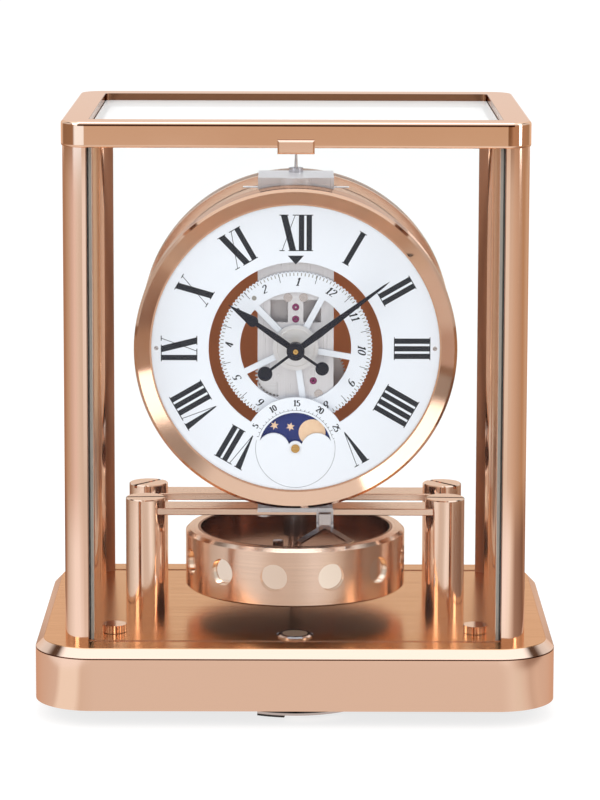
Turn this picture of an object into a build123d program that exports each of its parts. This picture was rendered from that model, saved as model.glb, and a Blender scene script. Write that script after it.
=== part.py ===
from build123d import *
import math
import os

# A moon phase desk clock: a glazed cabinet on a rounded plinth, with a drum-shaped
# movement on four pillars and a torsion balance that hangs under it.
# Millimetres. +Z is up, the clock faces -Y, and the origin is on the table under
# the middle of the plinth, on the axis of the balance.

# Clearances and cutting overrun
SEAT_GAP = 0.05
SHAFT_GAP = 0.04
PANE_GAP = 0.2
FACE_GAP = 0.3
OVERRUN = 2.0

# Plinth
FOOT_HEIGHT = 6.0
BASE_WIDTH = 180.0
BASE_DEPTH = 135.0
BASE_HEIGHT = 21.3
BASE_CORNER = 20.5
BASE_BEVEL_RUN = 3.0
BASE_BEVEL_RISE = 3.1
BASE_WALL = 3.0
BASE_PLATE = 5.0
COVER_THICKNESS = 2.0
COVER_SCREW_INSET = 10.0
COVER_SCREW_ROW = 26.0
COVER_BOSS_RADIUS = 4.0

# Screws: long ones hold posts and pillars, short ones the cover and the movement
LONG_SCREW_RADIUS = 1.8
LONG_SCREW_REACH = 10.0
SHORT_SCREW_RADIUS = 1.5
SHORT_SCREW_LENGTH = 4.0
HEAD_SHARE = 1.9
HEAD_HEIGHT = 1.2
SLOT_WIDTH = 0.5
SLOT_DEPTH = 0.5

# Posts, panes and top frame
LEDGE_SIDE = 10.6
LEDGE_FRONT = 10.9
POST_HEADROOM = 3.7
POST_FACE = 8.3
POST_CORNER = 7.0
POST_LIP = 1.9
REAR_POST_LIP = 3.4
POST_LIP_THICKNESS = 1.2
POST_HOLLOW_RADIUS = 9.0
DOWEL_RADIUS = 1.2
DOWEL_REACH = 4.0
PANE_THICKNESS = 2.2
PANE_SET_BACK = 1.1
PANE_GROOVE = 0.6
FRAME_HEIGHT = 8.7
FRAME_OVERHANG_SIDE = 0.2
FRAME_OVERHANG_FRONT = 4.5
FRAME_RAIL_SIDE = 9.5
FRAME_RAIL_FRONT = 11.0
FRAME_LEDGE = 2.0
FRAME_CORNER = 8.3
FRAME_EDGE = 0.9
FRAME_OPENING_CORNER = 2.0
TOP_GLASS_SET_DOWN = 2.5

# Door knob
KNOB_WIDTH = 12.5
KNOB_HEIGHT = 4.7
KNOB_THICKNESS = 1.9
KNOB_STEM_HEIGHT = 1.5
KNOB_STEM_WIDTH = 6.0
KNOB_EDGE = 0.6

# Spirit level
LEVEL_SET_BACK = 21.3
LEVEL_RADIUS = 6.4
LEVEL_RIM_HEIGHT = 0.9
LEVEL_SHANK_RADIUS = 5.2
LEVEL_GLASS_RADIUS = 4.4
LEVEL_VIAL_DEPTH = 3.4

# Levelling screws and rear foot
ADJUSTER_INSET = 27.0
ADJUSTER_SET_BACK = 26.7
ADJUSTER_KNOB_RADIUS = 4.35
ADJUSTER_KNOB_HEIGHT = 2.7
ADJUSTER_KNURLS = 24
KNURL_DEPTH = 0.35
SPINDLE_RADIUS = 2.2
SPINDLE_LENGTH = 17.0
SPINDLE_BOSS_RADIUS = 5.0
SPINDLE_BOSS_LENGTH = 6.0
CLIP_RADIUS = 3.4
CLIP_THICKNESS = 0.8
STUD_RADIUS = 1.2
STUD_LENGTH = 13.0
FOOT_RADIUS = 5.0
FOOT_DISC = 2.4
REAR_FOOT_SET_BACK = 115.0

# Transport lock: lever under the plinth, cam and lifting post
LOCK_PIVOT_SET_BACK = 37.5
LOCK_HANDLE_INNER = 25.0
LOCK_HANDLE_OUTER = 29.5
LOCK_HANDLE_LEFT_ANGLE = 26.0
LOCK_HANDLE_RIGHT_ANGLE = 37.0
LOCK_GRIP_END_ANGLE = 7.0
LOCK_BLADE = 0.8
LOCK_GRIP = 0.7
LOCK_CLEARANCE = 1.6
LOCK_STEM_WIDTH = 5.0
LOCK_SHAFT_RADIUS = 2.0
LOCK_HUB_RADIUS = 4.0
LOCK_SWING_ANGLE = 24.0
CAM_WIDTH = 14.0
CAM_THICKNESS = 1.5
CAM_HEIGHT_OVER_COVER = 1.5
LIFT_POST_RADIUS = 1.95
LIFT_POST_FLANGE = 3.2
LIFT_POST_RISE = 13.1
LIFT_TRAVEL = 0.8

# Pillars and bars
PILLAR_RADIUS = 7.0
PILLAR_HEIGHT = 39.3
PILLAR_INSET = 26.2
PILLAR_ROW = 13.0
PILLAR_NOTCH = 2.5
CAP_HEIGHT = 2.9
CAP_STEM_RADIUS = 3.0
CAP_STEM_LENGTH = 8.0
CAP_SLOT_WIDTH = 1.3
CAP_SLOT_DEPTH = 1.2
CAP_EDGE = 0.35
FRONT_SLOT_ANGLE = 4.0
REAR_SLOT_ANGLE = 50.0
BAR_DEPTH = 12.0
BAR_THICKNESS = 2.5
BAR_EDGE = 0.3

# Drum
DRUM_RADIUS = 56.2
DRUM_DEPTH = 68.0
DRUM_REACH = 34.0
DRUM_RISE = 3.1
BEZEL_DEPTH = 13.0
BEZEL_RIM = 1.0
BEZEL_WIDTH = 6.0
BEZEL_SLOPE = 3.5
BEZEL_STEP = 0.6
BEZEL_GROOVES = 3
GROOVE_WIDTH = 0.7
GROOVE_DEPTH = 0.45
GROOVE_PITCH = 2.1
SHELL_SET_IN = 3.2
SHELL_WALL = 1.5
SHELL_OVERLAP = 3.0
WELL_SET_BACK = 6.5
WELL_THICKNESS = 1.0
REAR_COVER_THICKNESS = 2.0
REAR_COVER_RECESS = 1.5
BELLOWS_SET_IN = 6.5
BELLOWS_SHARE = 0.87
BELLOWS_FOLDS = 5
BELLOWS_FOLD_DEPTH = 5.0
BELLOWS_BOSS_RADIUS = 9.0

# Dial
DIAL_SET_IN = 4.4
DIAL_THICKNESS = 1.0
DIAL_BAND = 21.5
DIAL_SCREW_INSET = 3.3
DIAL_SCREW_RADIUS = 0.45
CLAMP_RING_WIDTH = 1.8
CLAMP_EAR_RADIUS = 2.2
MOON_DROP = 35.4
LOBE_RADIUS = 18.1
WINDOW_RADIUS = 12.7
HUMP_RADIUS = 5.6
HUMP_SPREAD = 7.6
HUMP_DROP = 0.2
WINDOW_FOOT = 1.6
CENTRE_HUMP = 2.6

# Movement
COLUMN_WIDTH = 26.5
BASE_PLATE_FRONT = 14.0
TONGUE_FRONT = 20.5
TONGUE_THICKNESS = 0.5
BASE_PLATE_BACK = 19.5
TONGUE_LIP = 1.0
TONGUE_LIP_THICKNESS = 1.2
PLATE_THICKNESS = 2.5
FRONT_PLATE_FACE = -20.5
REAR_PLATE_FACE = -8.5
PLATE_SINK = 9.5
BRIDGE_FACE = -26.8
BRIDGE_THICKNESS = 1.5
BRIDGE_TOP = 33.0
BRIDGE_FOOT = 40.5
MOVEMENT_PILLAR_RADIUS = 1.6
MOVEMENT_PILLAR_SPREAD = 10.8
MOVEMENT_PILLAR_RISE = 36.0
WINDOW_LOW = 8.6
WINDOW_HIGH = 16.6
WINDOW_INSIDE = 2.7
WINDOW_OUTSIDE = 8.8
WIRE_HOLE_RADIUS = 1.5
BRIDGE_SCREW_RADIUS = 0.8
BRIDGE_SCREW_HEAD = 0.2
BRIDGE_SCREW_TURN = 35.0
JEWEL_RADIUS = 1.25
JEWEL_HOLE = 0.35

# Suspension
BLOCK_HEIGHT = 11.7
BLOCK_FRONT = 18.5
BLOCK_BACK = 5.0
BLOCK_BULGE_WIDTH = 10.5
BLOCK_BULGE = 2.2
SIDE_PIN_RADIUS = 0.3
SIDE_PIN_LENGTH = 5.4
SIDE_PIN_DROP = 4.3
COLLAR_RADIUS = 2.5
COLLAR_HEIGHT = 1.6
HEAD_LENGTH = 11.0
HEAD_FOOT_RADIUS = 0.6
HEAD_TIP_RADIUS = 0.25
WIRE_RADIUS = 0.2

# Hands and their arbors
HUB_RADIUS = 3.1
HUB_FRONT = 4.0
HAND_THICKNESS = 0.6
MINUTE_HAND_FACE = -36.9
HOUR_HAND_FACE = -35.5
MINUTE_HAND_LENGTH = 40.6
MINUTE_HAND_WIDTH = 2.6
MINUTE_TAIL = 13.2
MINUTE_BALL = 2.55
HOUR_HAND_LENGTH = 28.3
HOUR_HAND_WIDTH = 2.3
HOUR_TAIL = 11.2
HOUR_BALL = 2.35
HOUR_LEAF_AT = 18.0
HOUR_LEAF_RADIUS = 1.9
HAND_NECK = 0.9
HAND_TIP = 0.35
ARBOR_RADIUS = 0.9
HOUR_PIPE_RADIUS = 1.9
ARBOR_NOSE = 38.2
HOUR_ANGLE = 304.5
MINUTE_ANGLE = 53.1

# Wheels: module is the size of one tooth, and the counts give the ratios
ADDENDUM_SHARE = 0.85
DEDENDUM_SHARE = 1.25
BACKLASH_SHARE = 0.16
PRESSURE_ANGLE = 20.0
WHEEL_THICKNESS = 0.8
WHEEL_RIM_SHARE = 0.8
WHEEL_HUB_SHARE = 0.3
WHEEL_SPOKES = 4
SPOKE_WIDTH = 1.1
CANNON_TEETH = 12
MINUTE_WHEEL_TEETH = 36
MINUTE_PINION_TEETH = 12
HOUR_WHEEL_TEETH = 48
HOUR_PINION_TEETH = 18
DAY_WHEEL_TEETH = 36
CENTRE_PINION_TEETH = 12
BARREL_TEETH = 60
CENTRE_WHEEL_TEETH = 40
THIRD_PINION_TEETH = 12
MINUTE_WHEEL_X = 6.0
MINUTE_WHEEL_Z = 0.0
DAY_WHEEL_X = -6.0
DAY_WHEEL_Z = -10.0
BARREL_X = 6.2
BARREL_Z = -12.0
THIRD_WHEEL_X = 0.0
THIRD_WHEEL_Z = 9.8
PALLET_JEWEL_Z = 14.0
CANNON_FACE = -22.0
CANNON_LENGTH = 1.2
MINUTE_WHEEL_FACE = -21.8
MINUTE_PINION_FACE = -24.0
HOUR_WHEEL_FACE = -23.6
HOUR_PINION_FACE = -25.0
HOUR_PINION_LENGTH = 1.0
DAY_WHEEL_FACE = -24.9
DAY_WHEEL_THICKNESS = 0.6
CENTRE_WHEEL_FACE = -17.4
CENTRE_PINION_FACE = -15.9
CENTRE_PINION_LENGTH = 1.8
BARREL_FACE = -15.7
BARREL_GEAR_THICKNESS = 1.2
BARREL_DRUM_RADIUS = 10.2
BARREL_DEPTH = 5.6
BARREL_ARBOR_RADIUS = 1.2
THIRD_WHEEL_RADIUS = 5.4
THIRD_WHEEL_FACE = -10.4
THIRD_PINION_FACE = -17.8
THIRD_PINION_LENGTH = 1.6
PIVOT_RADIUS = 0.5

# Month wheel, its cover and the moon disc
MONTH_TEETH = 122
MONTH_RADIUS = 26.9
MONTH_TOOTH_DEPTH = 0.6
MONTH_BAND_BORE = 19.4
MONTH_THICKNESS = 0.8
MONTH_FACE = -28.0
MONTH_SPOKES = 5
MONTH_SPOKE_WIDTH = 2.1
MONTH_SPOKE_ANGLE = 62.0
MONTH_HUB_RADIUS = 7.0
CENTRE_TUBE_RADIUS = 3.4
CENTRE_TUBE_BORE = 2.1
COVER_DISC_RADIUS = 8.0
COVER_DISC_THICKNESS = 0.8
COVER_DISC_RIB = 6.6
COVER_RIB_HEIGHT = 0.1
COVER_RIB_RUN = 0.2
MOON_DISC_RADIUS = 13.4
MOON_DISC_THICKNESS = 0.5
MOON_DISC_FACE = -29.1
MOON_ARBOR_RADIUS = 0.8
MOON_CAP_RADIUS = 1.5
MOON_CAP_HEIGHT = 0.5

# Balance
BALANCE_RISE = 8.3
BALANCE_RADIUS = 39.3
BALANCE_BORE = 34.0
BALANCE_HEIGHT = 20.7
BALANCE_CHAMFER = 1.2
BALANCE_RECESSES = 12
BALANCE_RECESS_RADIUS = 4.75
BALANCE_RECESS_DEPTH = 1.6
BALANCE_RECESS_ANGLE = 19.0
WEB_DROP = 6.0
WEB_THICKNESS = 3.0
WEB_BOSS_RADIUS = 5.0
WEB_BOSS_LENGTH = 5.0
WEB_BOSS_BORE = 2.7
WEB_BOSS_BORE_DEPTH = 3.4
HUB_NECK_RADIUS = 2.5
HUB_NECK_LENGTH = 3.0
HUB_BODY_RADIUS = 4.25
HUB_FLANGE_RADIUS = 4.7
HUB_FLANGE_HEIGHT = 0.9
HUB_BODY_LENGTH = 12.4
REGULATOR_X = -6.0
REGULATOR_Y = -20.5
REGULATOR_RADIUS = 1.9
REGULATOR_HEIGHT = 5.2

# Balance stop: a forked chrome lever with a finger tab
STOP_X = 10.5
STOP_WIDTH = 4.2
STOP_TAB_HEIGHT = 4.4
STOP_TAB_DROP = 1.0
STOP_TAB_THICKNESS = 0.9
STOP_GAP = 0.6
STOP_ARM_THICKNESS = 0.8
STOP_ARM_WIDTH = 2.2
STOP_REACH = 11.6
STOP_SPREAD = 9.3
STOP_SLOPE_ANGLE = 17.0
STOP_PIN_RADIUS = 0.45
STOP_EAR = 0.7
STOP_EAR_RADIUS = 1.1
STOP_PIVOT_RISE = 4.6
STOP_PIVOT_AHEAD = 1.5

# Heights and places that follow from the sizes above
BASE_TOP = FOOT_HEIGHT + BASE_HEIGHT
PLATE_UNDERSIDE = BASE_TOP - BASE_PLATE
COVER_TOP = FOOT_HEIGHT + COVER_THICKNESS
FRONT = -BASE_DEPTH / 2
CABINET_HALF_WIDTH = BASE_WIDTH / 2 - LEDGE_SIDE
CABINET_HALF_DEPTH = BASE_DEPTH / 2 - LEDGE_FRONT
FRAME_HALF_WIDTH = CABINET_HALF_WIDTH + FRAME_OVERHANG_SIDE
FRAME_HALF_DEPTH = CABINET_HALF_DEPTH + FRAME_OVERHANG_FRONT
PANE_BACK = PANE_SET_BACK + PANE_THICKNESS
ADJUSTER_SPREAD = BASE_WIDTH / 2 - ADJUSTER_INSET
PILLAR_SPREAD = CABINET_HALF_WIDTH - PILLAR_INSET
CAP_SEAT = BASE_TOP + PILLAR_HEIGHT
BAR_TOP = CAP_SEAT - SEAT_GAP
BAR_SEAT = BAR_TOP - BAR_THICKNESS
BAR_END = PILLAR_SPREAD - PILLAR_RADIUS + PILLAR_NOTCH
MOVEMENT_SEAT = BAR_TOP
DRUM_FLOOR = MOVEMENT_SEAT + DRUM_RISE
DRUM_CENTRE = DRUM_FLOOR + DRUM_RADIUS
DRUM_FRONT = -DRUM_REACH
DRUM_BACK = DRUM_DEPTH - DRUM_REACH
DIAL_FACE = DRUM_FRONT + BEZEL_SLOPE
DIAL_BACK = DIAL_FACE + DIAL_THICKNESS
BEZEL_BACK = DRUM_FRONT + BEZEL_DEPTH
REAR_RING_FRONT = DRUM_BACK - BEZEL_DEPTH
SHELL_FRONT = BEZEL_BACK - SHELL_OVERLAP
SHELL_BACK = REAR_RING_FRONT + SHELL_OVERLAP
SHELL_RADIUS = DRUM_RADIUS - SHELL_SET_IN
SHELL_BORE = SHELL_RADIUS - SHELL_WALL
BEZEL_OPENING = DRUM_RADIUS - BEZEL_WIDTH
DIAL_RADIUS = DRUM_RADIUS - DIAL_SET_IN
DIAL_OPENING = DIAL_RADIUS - DIAL_BAND
DIAL_SCREW_CIRCLE = DIAL_RADIUS - DIAL_SCREW_INSET
CLAMP_RING_BORE = DIAL_RADIUS - CLAMP_RING_WIDTH
BELLOWS_RADIUS = SHELL_BORE - BELLOWS_SET_IN
BELLOWS_BACK = DRUM_BACK - REAR_COVER_RECESS - REAR_COVER_THICKNESS
BELLOWS_DEPTH = BELLOWS_SHARE * (BELLOWS_BACK - WELL_SET_BACK - WELL_THICKNESS)
BLOCK_SEAT = DRUM_CENTRE + DRUM_RADIUS - PLATE_SINK
BLOCK_TOP = BLOCK_SEAT + BLOCK_HEIGHT
FRAME_UNDERSIDE = BLOCK_TOP + HEAD_LENGTH + POST_HEADROOM
FRAME_TOP = FRAME_UNDERSIDE + FRAME_HEIGHT
POST_HEIGHT = FRAME_UNDERSIDE - BASE_TOP
BALANCE_FLOOR = BASE_TOP + BALANCE_RISE
BALANCE_TOP = BALANCE_FLOOR + BALANCE_HEIGHT
WEB_TOP = BALANCE_TOP - WEB_DROP
HUB_TOP = WEB_TOP + HUB_NECK_LENGTH + HUB_BODY_LENGTH
LOCK_PIVOT_Y = FRONT + LOCK_PIVOT_SET_BACK
ADJUSTER_Y = FRONT + ADJUSTER_SET_BACK
CAM_TOP = COVER_TOP + CAM_HEIGHT_OVER_COVER + CAM_THICKNESS
STOP_PIVOT_Y = -TONGUE_FRONT - STOP_PIVOT_AHEAD
STOP_PIVOT_Z = BALANCE_TOP + STOP_PIVOT_RISE

NODES = {}


def keep(name, *shapes):
    """Keep one piece, or a group of equal pieces, under its node name."""
    solids = [solid for shape in shapes for solid in shape.solids()]
    NODES[name] = solids[0] if len(solids) == 1 else Compound(solids)


def upright(radius, low, high, x=0, y=0):
    """A round bar along Z between two heights."""
    return Pos(x, y, (low + high) / 2) * Cylinder(radius, high - low)


def lying(radius, front, back, x=0, z=DRUM_CENTRE):
    """A round bar along Y between a front and a back plane."""
    return Pos(x, (front + back) / 2, z) * Rot(90, 0, 0) * Cylinder(radius, back - front)


def block(x0, x1, y0, y1, z0, z1):
    """A box between two corners."""
    return Pos((x0 + x1) / 2, (y0 + y1) / 2, (z0 + z1) / 2) * Box(x1 - x0, y1 - y0, z1 - z0)


def facing(y, x=0, z=DRUM_CENTRE):
    """A drawing plane that faces the front of the clock."""
    return Plane(origin=(x, y, z), x_dir=(1, 0, 0), z_dir=(0, -1, 0))


def slab(sketch, front, back, x=0, z=DRUM_CENTRE):
    """A flat piece cut to a front view, between two planes."""
    return extrude(facing(front, x, z) * sketch, back - front, dir=(0, 1, 0))


def turned(profile, z=DRUM_CENTRE):
    """A piece turned about the drum's axis from (radius, y) points."""
    points = [(radius, y, z) for radius, y in profile]
    axis = Axis((0, 0, z), (0, 1, 0))
    return revolve(make_face(Polyline(*points, close=True)), axis)


def turned_upright(profile, x=0, y=0):
    """A piece turned about an upright axis from (radius, height) points."""
    points = [(radius, 0, height) for radius, height in profile]
    return Pos(x, y, 0) * revolve(make_face(Polyline(*points, close=True)), Axis.Z)


def rounded_plate(width, depth, corner, low, high):
    """A plate with rounded corners between two heights."""
    return extrude(Pos(0, 0, low) * RectangleRounded(width, depth, corner), high - low)


def screw_up(radius, low, high, x, y, head_radius=None):
    """A screw that is driven up from below, with a slotted head under it."""
    head_radius = head_radius or radius * HEAD_SHARE
    body = upright(radius, low, high, x, y) + upright(head_radius, low - HEAD_HEIGHT, low, x, y)
    slot = Pos(x, y, low - HEAD_HEIGHT + SLOT_DEPTH / 2) * Box(OVERRUN * head_radius, SLOT_WIDTH, SLOT_DEPTH)
    return body - slot


def screw_back(radius, head_radius, head_height, face, end, x, z, angle=0):
    """A small slotted screw driven backwards into a plate from the front."""
    body = lying(radius, face, end, x, z) + lying(head_radius, face - head_height, face, x, z)
    depth = min(SLOT_DEPTH, head_height) / 2
    slot = Box(OVERRUN * head_radius, depth, SLOT_WIDTH / 2)
    return body - Pos(x, face - head_height + depth / 2, z) * Rot(0, angle, 0) * slot


def corners(half_x, half_y):
    """The four corners of a rectangle about the origin, with their signs."""
    return [(sx * half_x, sy * half_y, sx, sy) for sx in (-1, 1) for sy in (-1, 1)]


def involute(angle):
    """The involute of an angle in radians."""
    return math.tan(angle) - angle


def tooth_outline(teeth, module, phase=0):
    """Points round a toothed wheel, with a tooth centred on the angle phase."""
    pitch = teeth * module / 2
    base = pitch * math.cos(math.radians(PRESSURE_ANGLE))
    half = math.pi / (2 * teeth) * (1 - BACKLASH_SHARE)
    start = half + involute(math.radians(PRESSURE_ANGLE))
    radii = (pitch - DEDENDUM_SHARE * module, pitch, pitch + ADDENDUM_SHARE * module)
    flank = []
    for radius in radii:
        angle = math.acos(base / radius) if radius > base else 0
        flank.append((radius, start - involute(angle)))
    points = []
    for tooth in range(teeth):
        middle = math.radians(phase) + tooth * 2 * math.pi / teeth
        points += [(r * math.cos(middle - a), r * math.sin(middle - a)) for r, a in flank]
        points += [(r * math.cos(middle + a), r * math.sin(middle + a)) for r, a in reversed(flank)]
    return points


def toothed(teeth, module, front, back, x=0, z=0, phase=0):
    """A solid toothed wheel between two planes, its centre given from the drum's axis."""
    outline = make_face(Polyline(*tooth_outline(teeth, module, phase), close=True))
    return slab(outline, front, back, x, DRUM_CENTRE + z)


def mesh_phase(phase, teeth, mate_teeth, x, z):
    """The phase of a wheel at (x, z) that meshes with one at the origin."""
    towards = math.degrees(math.atan2(z, x))
    share = ((towards - phase) * teeth / 360) % 1
    return towards + 180 - (0.5 - share) * 360 / mate_teeth


def spoked(radius, spokes, front, back, x=0, z=0, start=0):
    """The windows between the spokes of a wheel, as cutters."""
    ring = Circle(radius * WHEEL_RIM_SHARE) - Circle(radius * WHEEL_HUB_SHARE)
    for spoke in range(spokes):
        bar = Pos(radius / 2, 0) * Rectangle(radius, SPOKE_WIDTH)
        ring -= Rot(0, 0, start + spoke * 360 / spokes) * bar
    return slab(ring, front - OVERRUN, back + OVERRUN, x, DRUM_CENTRE + z)


def module_of(x, z, teeth, mate_teeth):
    """The module that makes two wheels mesh over the distance to (x, z)."""
    return 2 * math.hypot(x, z) / (teeth + mate_teeth)


# Plinth
def cover_screw_places():
    return corners(BASE_WIDTH / 2 - COVER_SCREW_INSET, COVER_SCREW_ROW)


def post_places():
    reach = POST_FACE / 2
    return corners(CABINET_HALF_WIDTH - reach, CABINET_HALF_DEPTH - reach)


def make_base_shell():
    shell = rounded_plate(BASE_WIDTH, BASE_DEPTH, BASE_CORNER, FOOT_HEIGHT, BASE_TOP)
    rim = shell.faces().sort_by(Axis.Z)[-1].edges()
    side = shell.faces().sort_by(Axis.Z)[-1]
    shell = chamfer(rim, BASE_BEVEL_RUN, BASE_BEVEL_RISE, reference=side)
    cavity = rounded_plate(
        BASE_WIDTH - 2 * BASE_WALL, BASE_DEPTH - 2 * BASE_WALL, BASE_CORNER - BASE_WALL,
        FOOT_HEIGHT - OVERRUN, PLATE_UNDERSIDE)
    shell -= cavity
    for x, y, _, _ in cover_screw_places():
        shell += upright(COVER_BOSS_RADIUS, COVER_TOP, PLATE_UNDERSIDE, x, y)
        shell -= upright(SHORT_SCREW_RADIUS + SEAT_GAP, COVER_TOP, COVER_TOP + SHORT_SCREW_LENGTH, x, y)
    for side in (-1, 1):
        x = side * ADJUSTER_SPREAD
        boss_end = PLATE_UNDERSIDE - SPINDLE_BOSS_LENGTH
        shell += upright(SPINDLE_BOSS_RADIUS, boss_end, PLATE_UNDERSIDE, x, ADJUSTER_Y)
        shell -= upright(SPINDLE_RADIUS + SHAFT_GAP, FOOT_HEIGHT, BASE_TOP + OVERRUN, x, ADJUSTER_Y)
    for x, y, _, _ in post_places():
        shell -= upright(LONG_SCREW_RADIUS + SEAT_GAP, FOOT_HEIGHT, BASE_TOP + OVERRUN, x, y)
    for x, y, _, _ in corners(PILLAR_SPREAD, PILLAR_ROW):
        shell -= upright(LONG_SCREW_RADIUS + SEAT_GAP, FOOT_HEIGHT, BASE_TOP + OVERRUN, x, y)
    shell -= upright(LIFT_POST_RADIUS + SHAFT_GAP, FOOT_HEIGHT, BASE_TOP + OVERRUN)
    level_y = FRONT + LEVEL_SET_BACK
    pocket_floor = BASE_TOP - LEVEL_VIAL_DEPTH - SEAT_GAP
    shell -= upright(LEVEL_SHANK_RADIUS + SEAT_GAP, pocket_floor, BASE_TOP + OVERRUN, 0, level_y)
    inner = CABINET_HALF_WIDTH - POST_FACE
    outer_y = CABINET_HALF_DEPTH - PANE_SET_BACK + SEAT_GAP
    inner_y = CABINET_HALF_DEPTH - PANE_BACK - SEAT_GAP
    groove_floor = BASE_TOP - PANE_GROOVE
    for side in (-1, 1):
        low_y, high_y = sorted((side * outer_y, side * inner_y))
        shell -= block(-inner, inner, low_y, high_y, groove_floor, BASE_TOP + OVERRUN)
    inner_side = CABINET_HALF_DEPTH - POST_FACE
    outer_x = CABINET_HALF_WIDTH - PANE_SET_BACK + SEAT_GAP
    inner_x = CABINET_HALF_WIDTH - PANE_BACK - SEAT_GAP
    for side in (-1, 1):
        low_x, high_x = sorted((side * outer_x, side * inner_x))
        shell -= block(low_x, high_x, -inner_side, inner_side, groove_floor, BASE_TOP + OVERRUN)
    keep("base_shell", shell)


def make_base_cover():
    inset = BASE_WALL + SEAT_GAP
    cover = rounded_plate(
        BASE_WIDTH - 2 * inset, BASE_DEPTH - 2 * inset, BASE_CORNER - inset, FOOT_HEIGHT, COVER_TOP)
    for x, y, _, _ in cover_screw_places():
        cover -= upright(SHORT_SCREW_RADIUS + SEAT_GAP, FOOT_HEIGHT - OVERRUN, COVER_TOP + OVERRUN, x, y)
        cover -= upright(
            SHORT_SCREW_RADIUS * HEAD_SHARE + SEAT_GAP, FOOT_HEIGHT - OVERRUN, FOOT_HEIGHT + HEAD_HEIGHT, x, y)
    for side in (-1, 1):
        hole = FOOT_RADIUS + FACE_GAP
        cover -= upright(hole, FOOT_HEIGHT - OVERRUN, COVER_TOP + OVERRUN, side * ADJUSTER_SPREAD, ADJUSTER_Y)
    cover -= upright(LOCK_SHAFT_RADIUS + SHAFT_GAP, FOOT_HEIGHT - OVERRUN, COVER_TOP + OVERRUN, 0, LOCK_PIVOT_Y)
    keep("base_cover", cover)


def make_screws():
    """Two groups of equal screws, all driven up from below."""
    under_cover = FOOT_HEIGHT + HEAD_HEIGHT
    short = [(x, y, under_cover) for x, y, _, _ in cover_screw_places()]
    short += [(x, y, BAR_SEAT) for x, y, _, _ in base_plate_screw_places()]
    keep("short_screws", *[
        screw_up(SHORT_SCREW_RADIUS, low, low + SHORT_SCREW_LENGTH, x, y) for x, y, low in short])
    places = post_places() + corners(PILLAR_SPREAD, PILLAR_ROW)
    top = BASE_TOP + LONG_SCREW_REACH - SEAT_GAP
    keep("long_screws", *[screw_up(LONG_SCREW_RADIUS, PLATE_UNDERSIDE, top, x, y) for x, y, _, _ in places])


def make_rear_foot():
    keep("rear_foot", upright(FOOT_RADIUS, 0, FOOT_HEIGHT, 0, FRONT + REAR_FOOT_SET_BACK))


def make_adjusters():
    """Two knurled knobs on the plate, each lowering a foot under the plinth."""
    knob_floor = BASE_TOP + FACE_GAP / 2
    knob_top = knob_floor + ADJUSTER_KNOB_HEIGHT
    boss_end = PLATE_UNDERSIDE - SPINDLE_BOSS_LENGTH
    spindle_end = knob_floor - SPINDLE_LENGTH
    for side, word in ((-1, "left"), (1, "right")):
        x = side * ADJUSTER_SPREAD
        outline = []
        for knurl in range(2 * ADJUSTER_KNURLS):
            angle = math.pi * knurl / ADJUSTER_KNURLS
            radius = ADJUSTER_KNOB_RADIUS - KNURL_DEPTH * (knurl % 2)
            outline.append((radius * math.cos(angle), radius * math.sin(angle)))
        grip = make_face(Polyline(*outline, close=True))
        knob = extrude(Pos(x, ADJUSTER_Y, knob_floor) * grip, ADJUSTER_KNOB_HEIGHT)
        knob += upright(SPINDLE_RADIUS, spindle_end, knob_floor, x, ADJUSTER_Y)
        clip_top = boss_end - FACE_GAP / 2
        knob += upright(CLIP_RADIUS, clip_top - CLIP_THICKNESS, clip_top, x, ADJUSTER_Y)
        stud_top = FOOT_DISC + STUD_LENGTH
        knob -= upright(STUD_RADIUS + SHAFT_GAP, spindle_end - OVERRUN, stud_top + FACE_GAP, x, ADJUSTER_Y)
        keep(word + "_level_knob", knob)
        foot = upright(FOOT_RADIUS, 0, FOOT_DISC, x, ADJUSTER_Y)
        foot += upright(STUD_RADIUS, FOOT_DISC, stud_top, x, ADJUSTER_Y)
        keep(word + "_level_foot", foot)


def make_spirit_level():
    y = FRONT + LEVEL_SET_BACK
    rim_top = BASE_TOP + LEVEL_RIM_HEIGHT
    shank_end = BASE_TOP - LEVEL_VIAL_DEPTH
    bezel = turned_upright([
        (LEVEL_GLASS_RADIUS + SEAT_GAP, shank_end), (LEVEL_SHANK_RADIUS, shank_end),
        (LEVEL_SHANK_RADIUS, BASE_TOP), (LEVEL_RADIUS, BASE_TOP),
        (LEVEL_RADIUS, BASE_TOP + LEVEL_RIM_HEIGHT / 2), (LEVEL_SHANK_RADIUS + LEVEL_RIM_HEIGHT / 2, rim_top),
        (LEVEL_GLASS_RADIUS + SEAT_GAP, rim_top)], 0, y)
    keep("level_bezel", bezel)
    keep("level_vial", upright(LEVEL_GLASS_RADIUS, BASE_TOP - LEVEL_VIAL_DEPTH, rim_top, 0, y))


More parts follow.
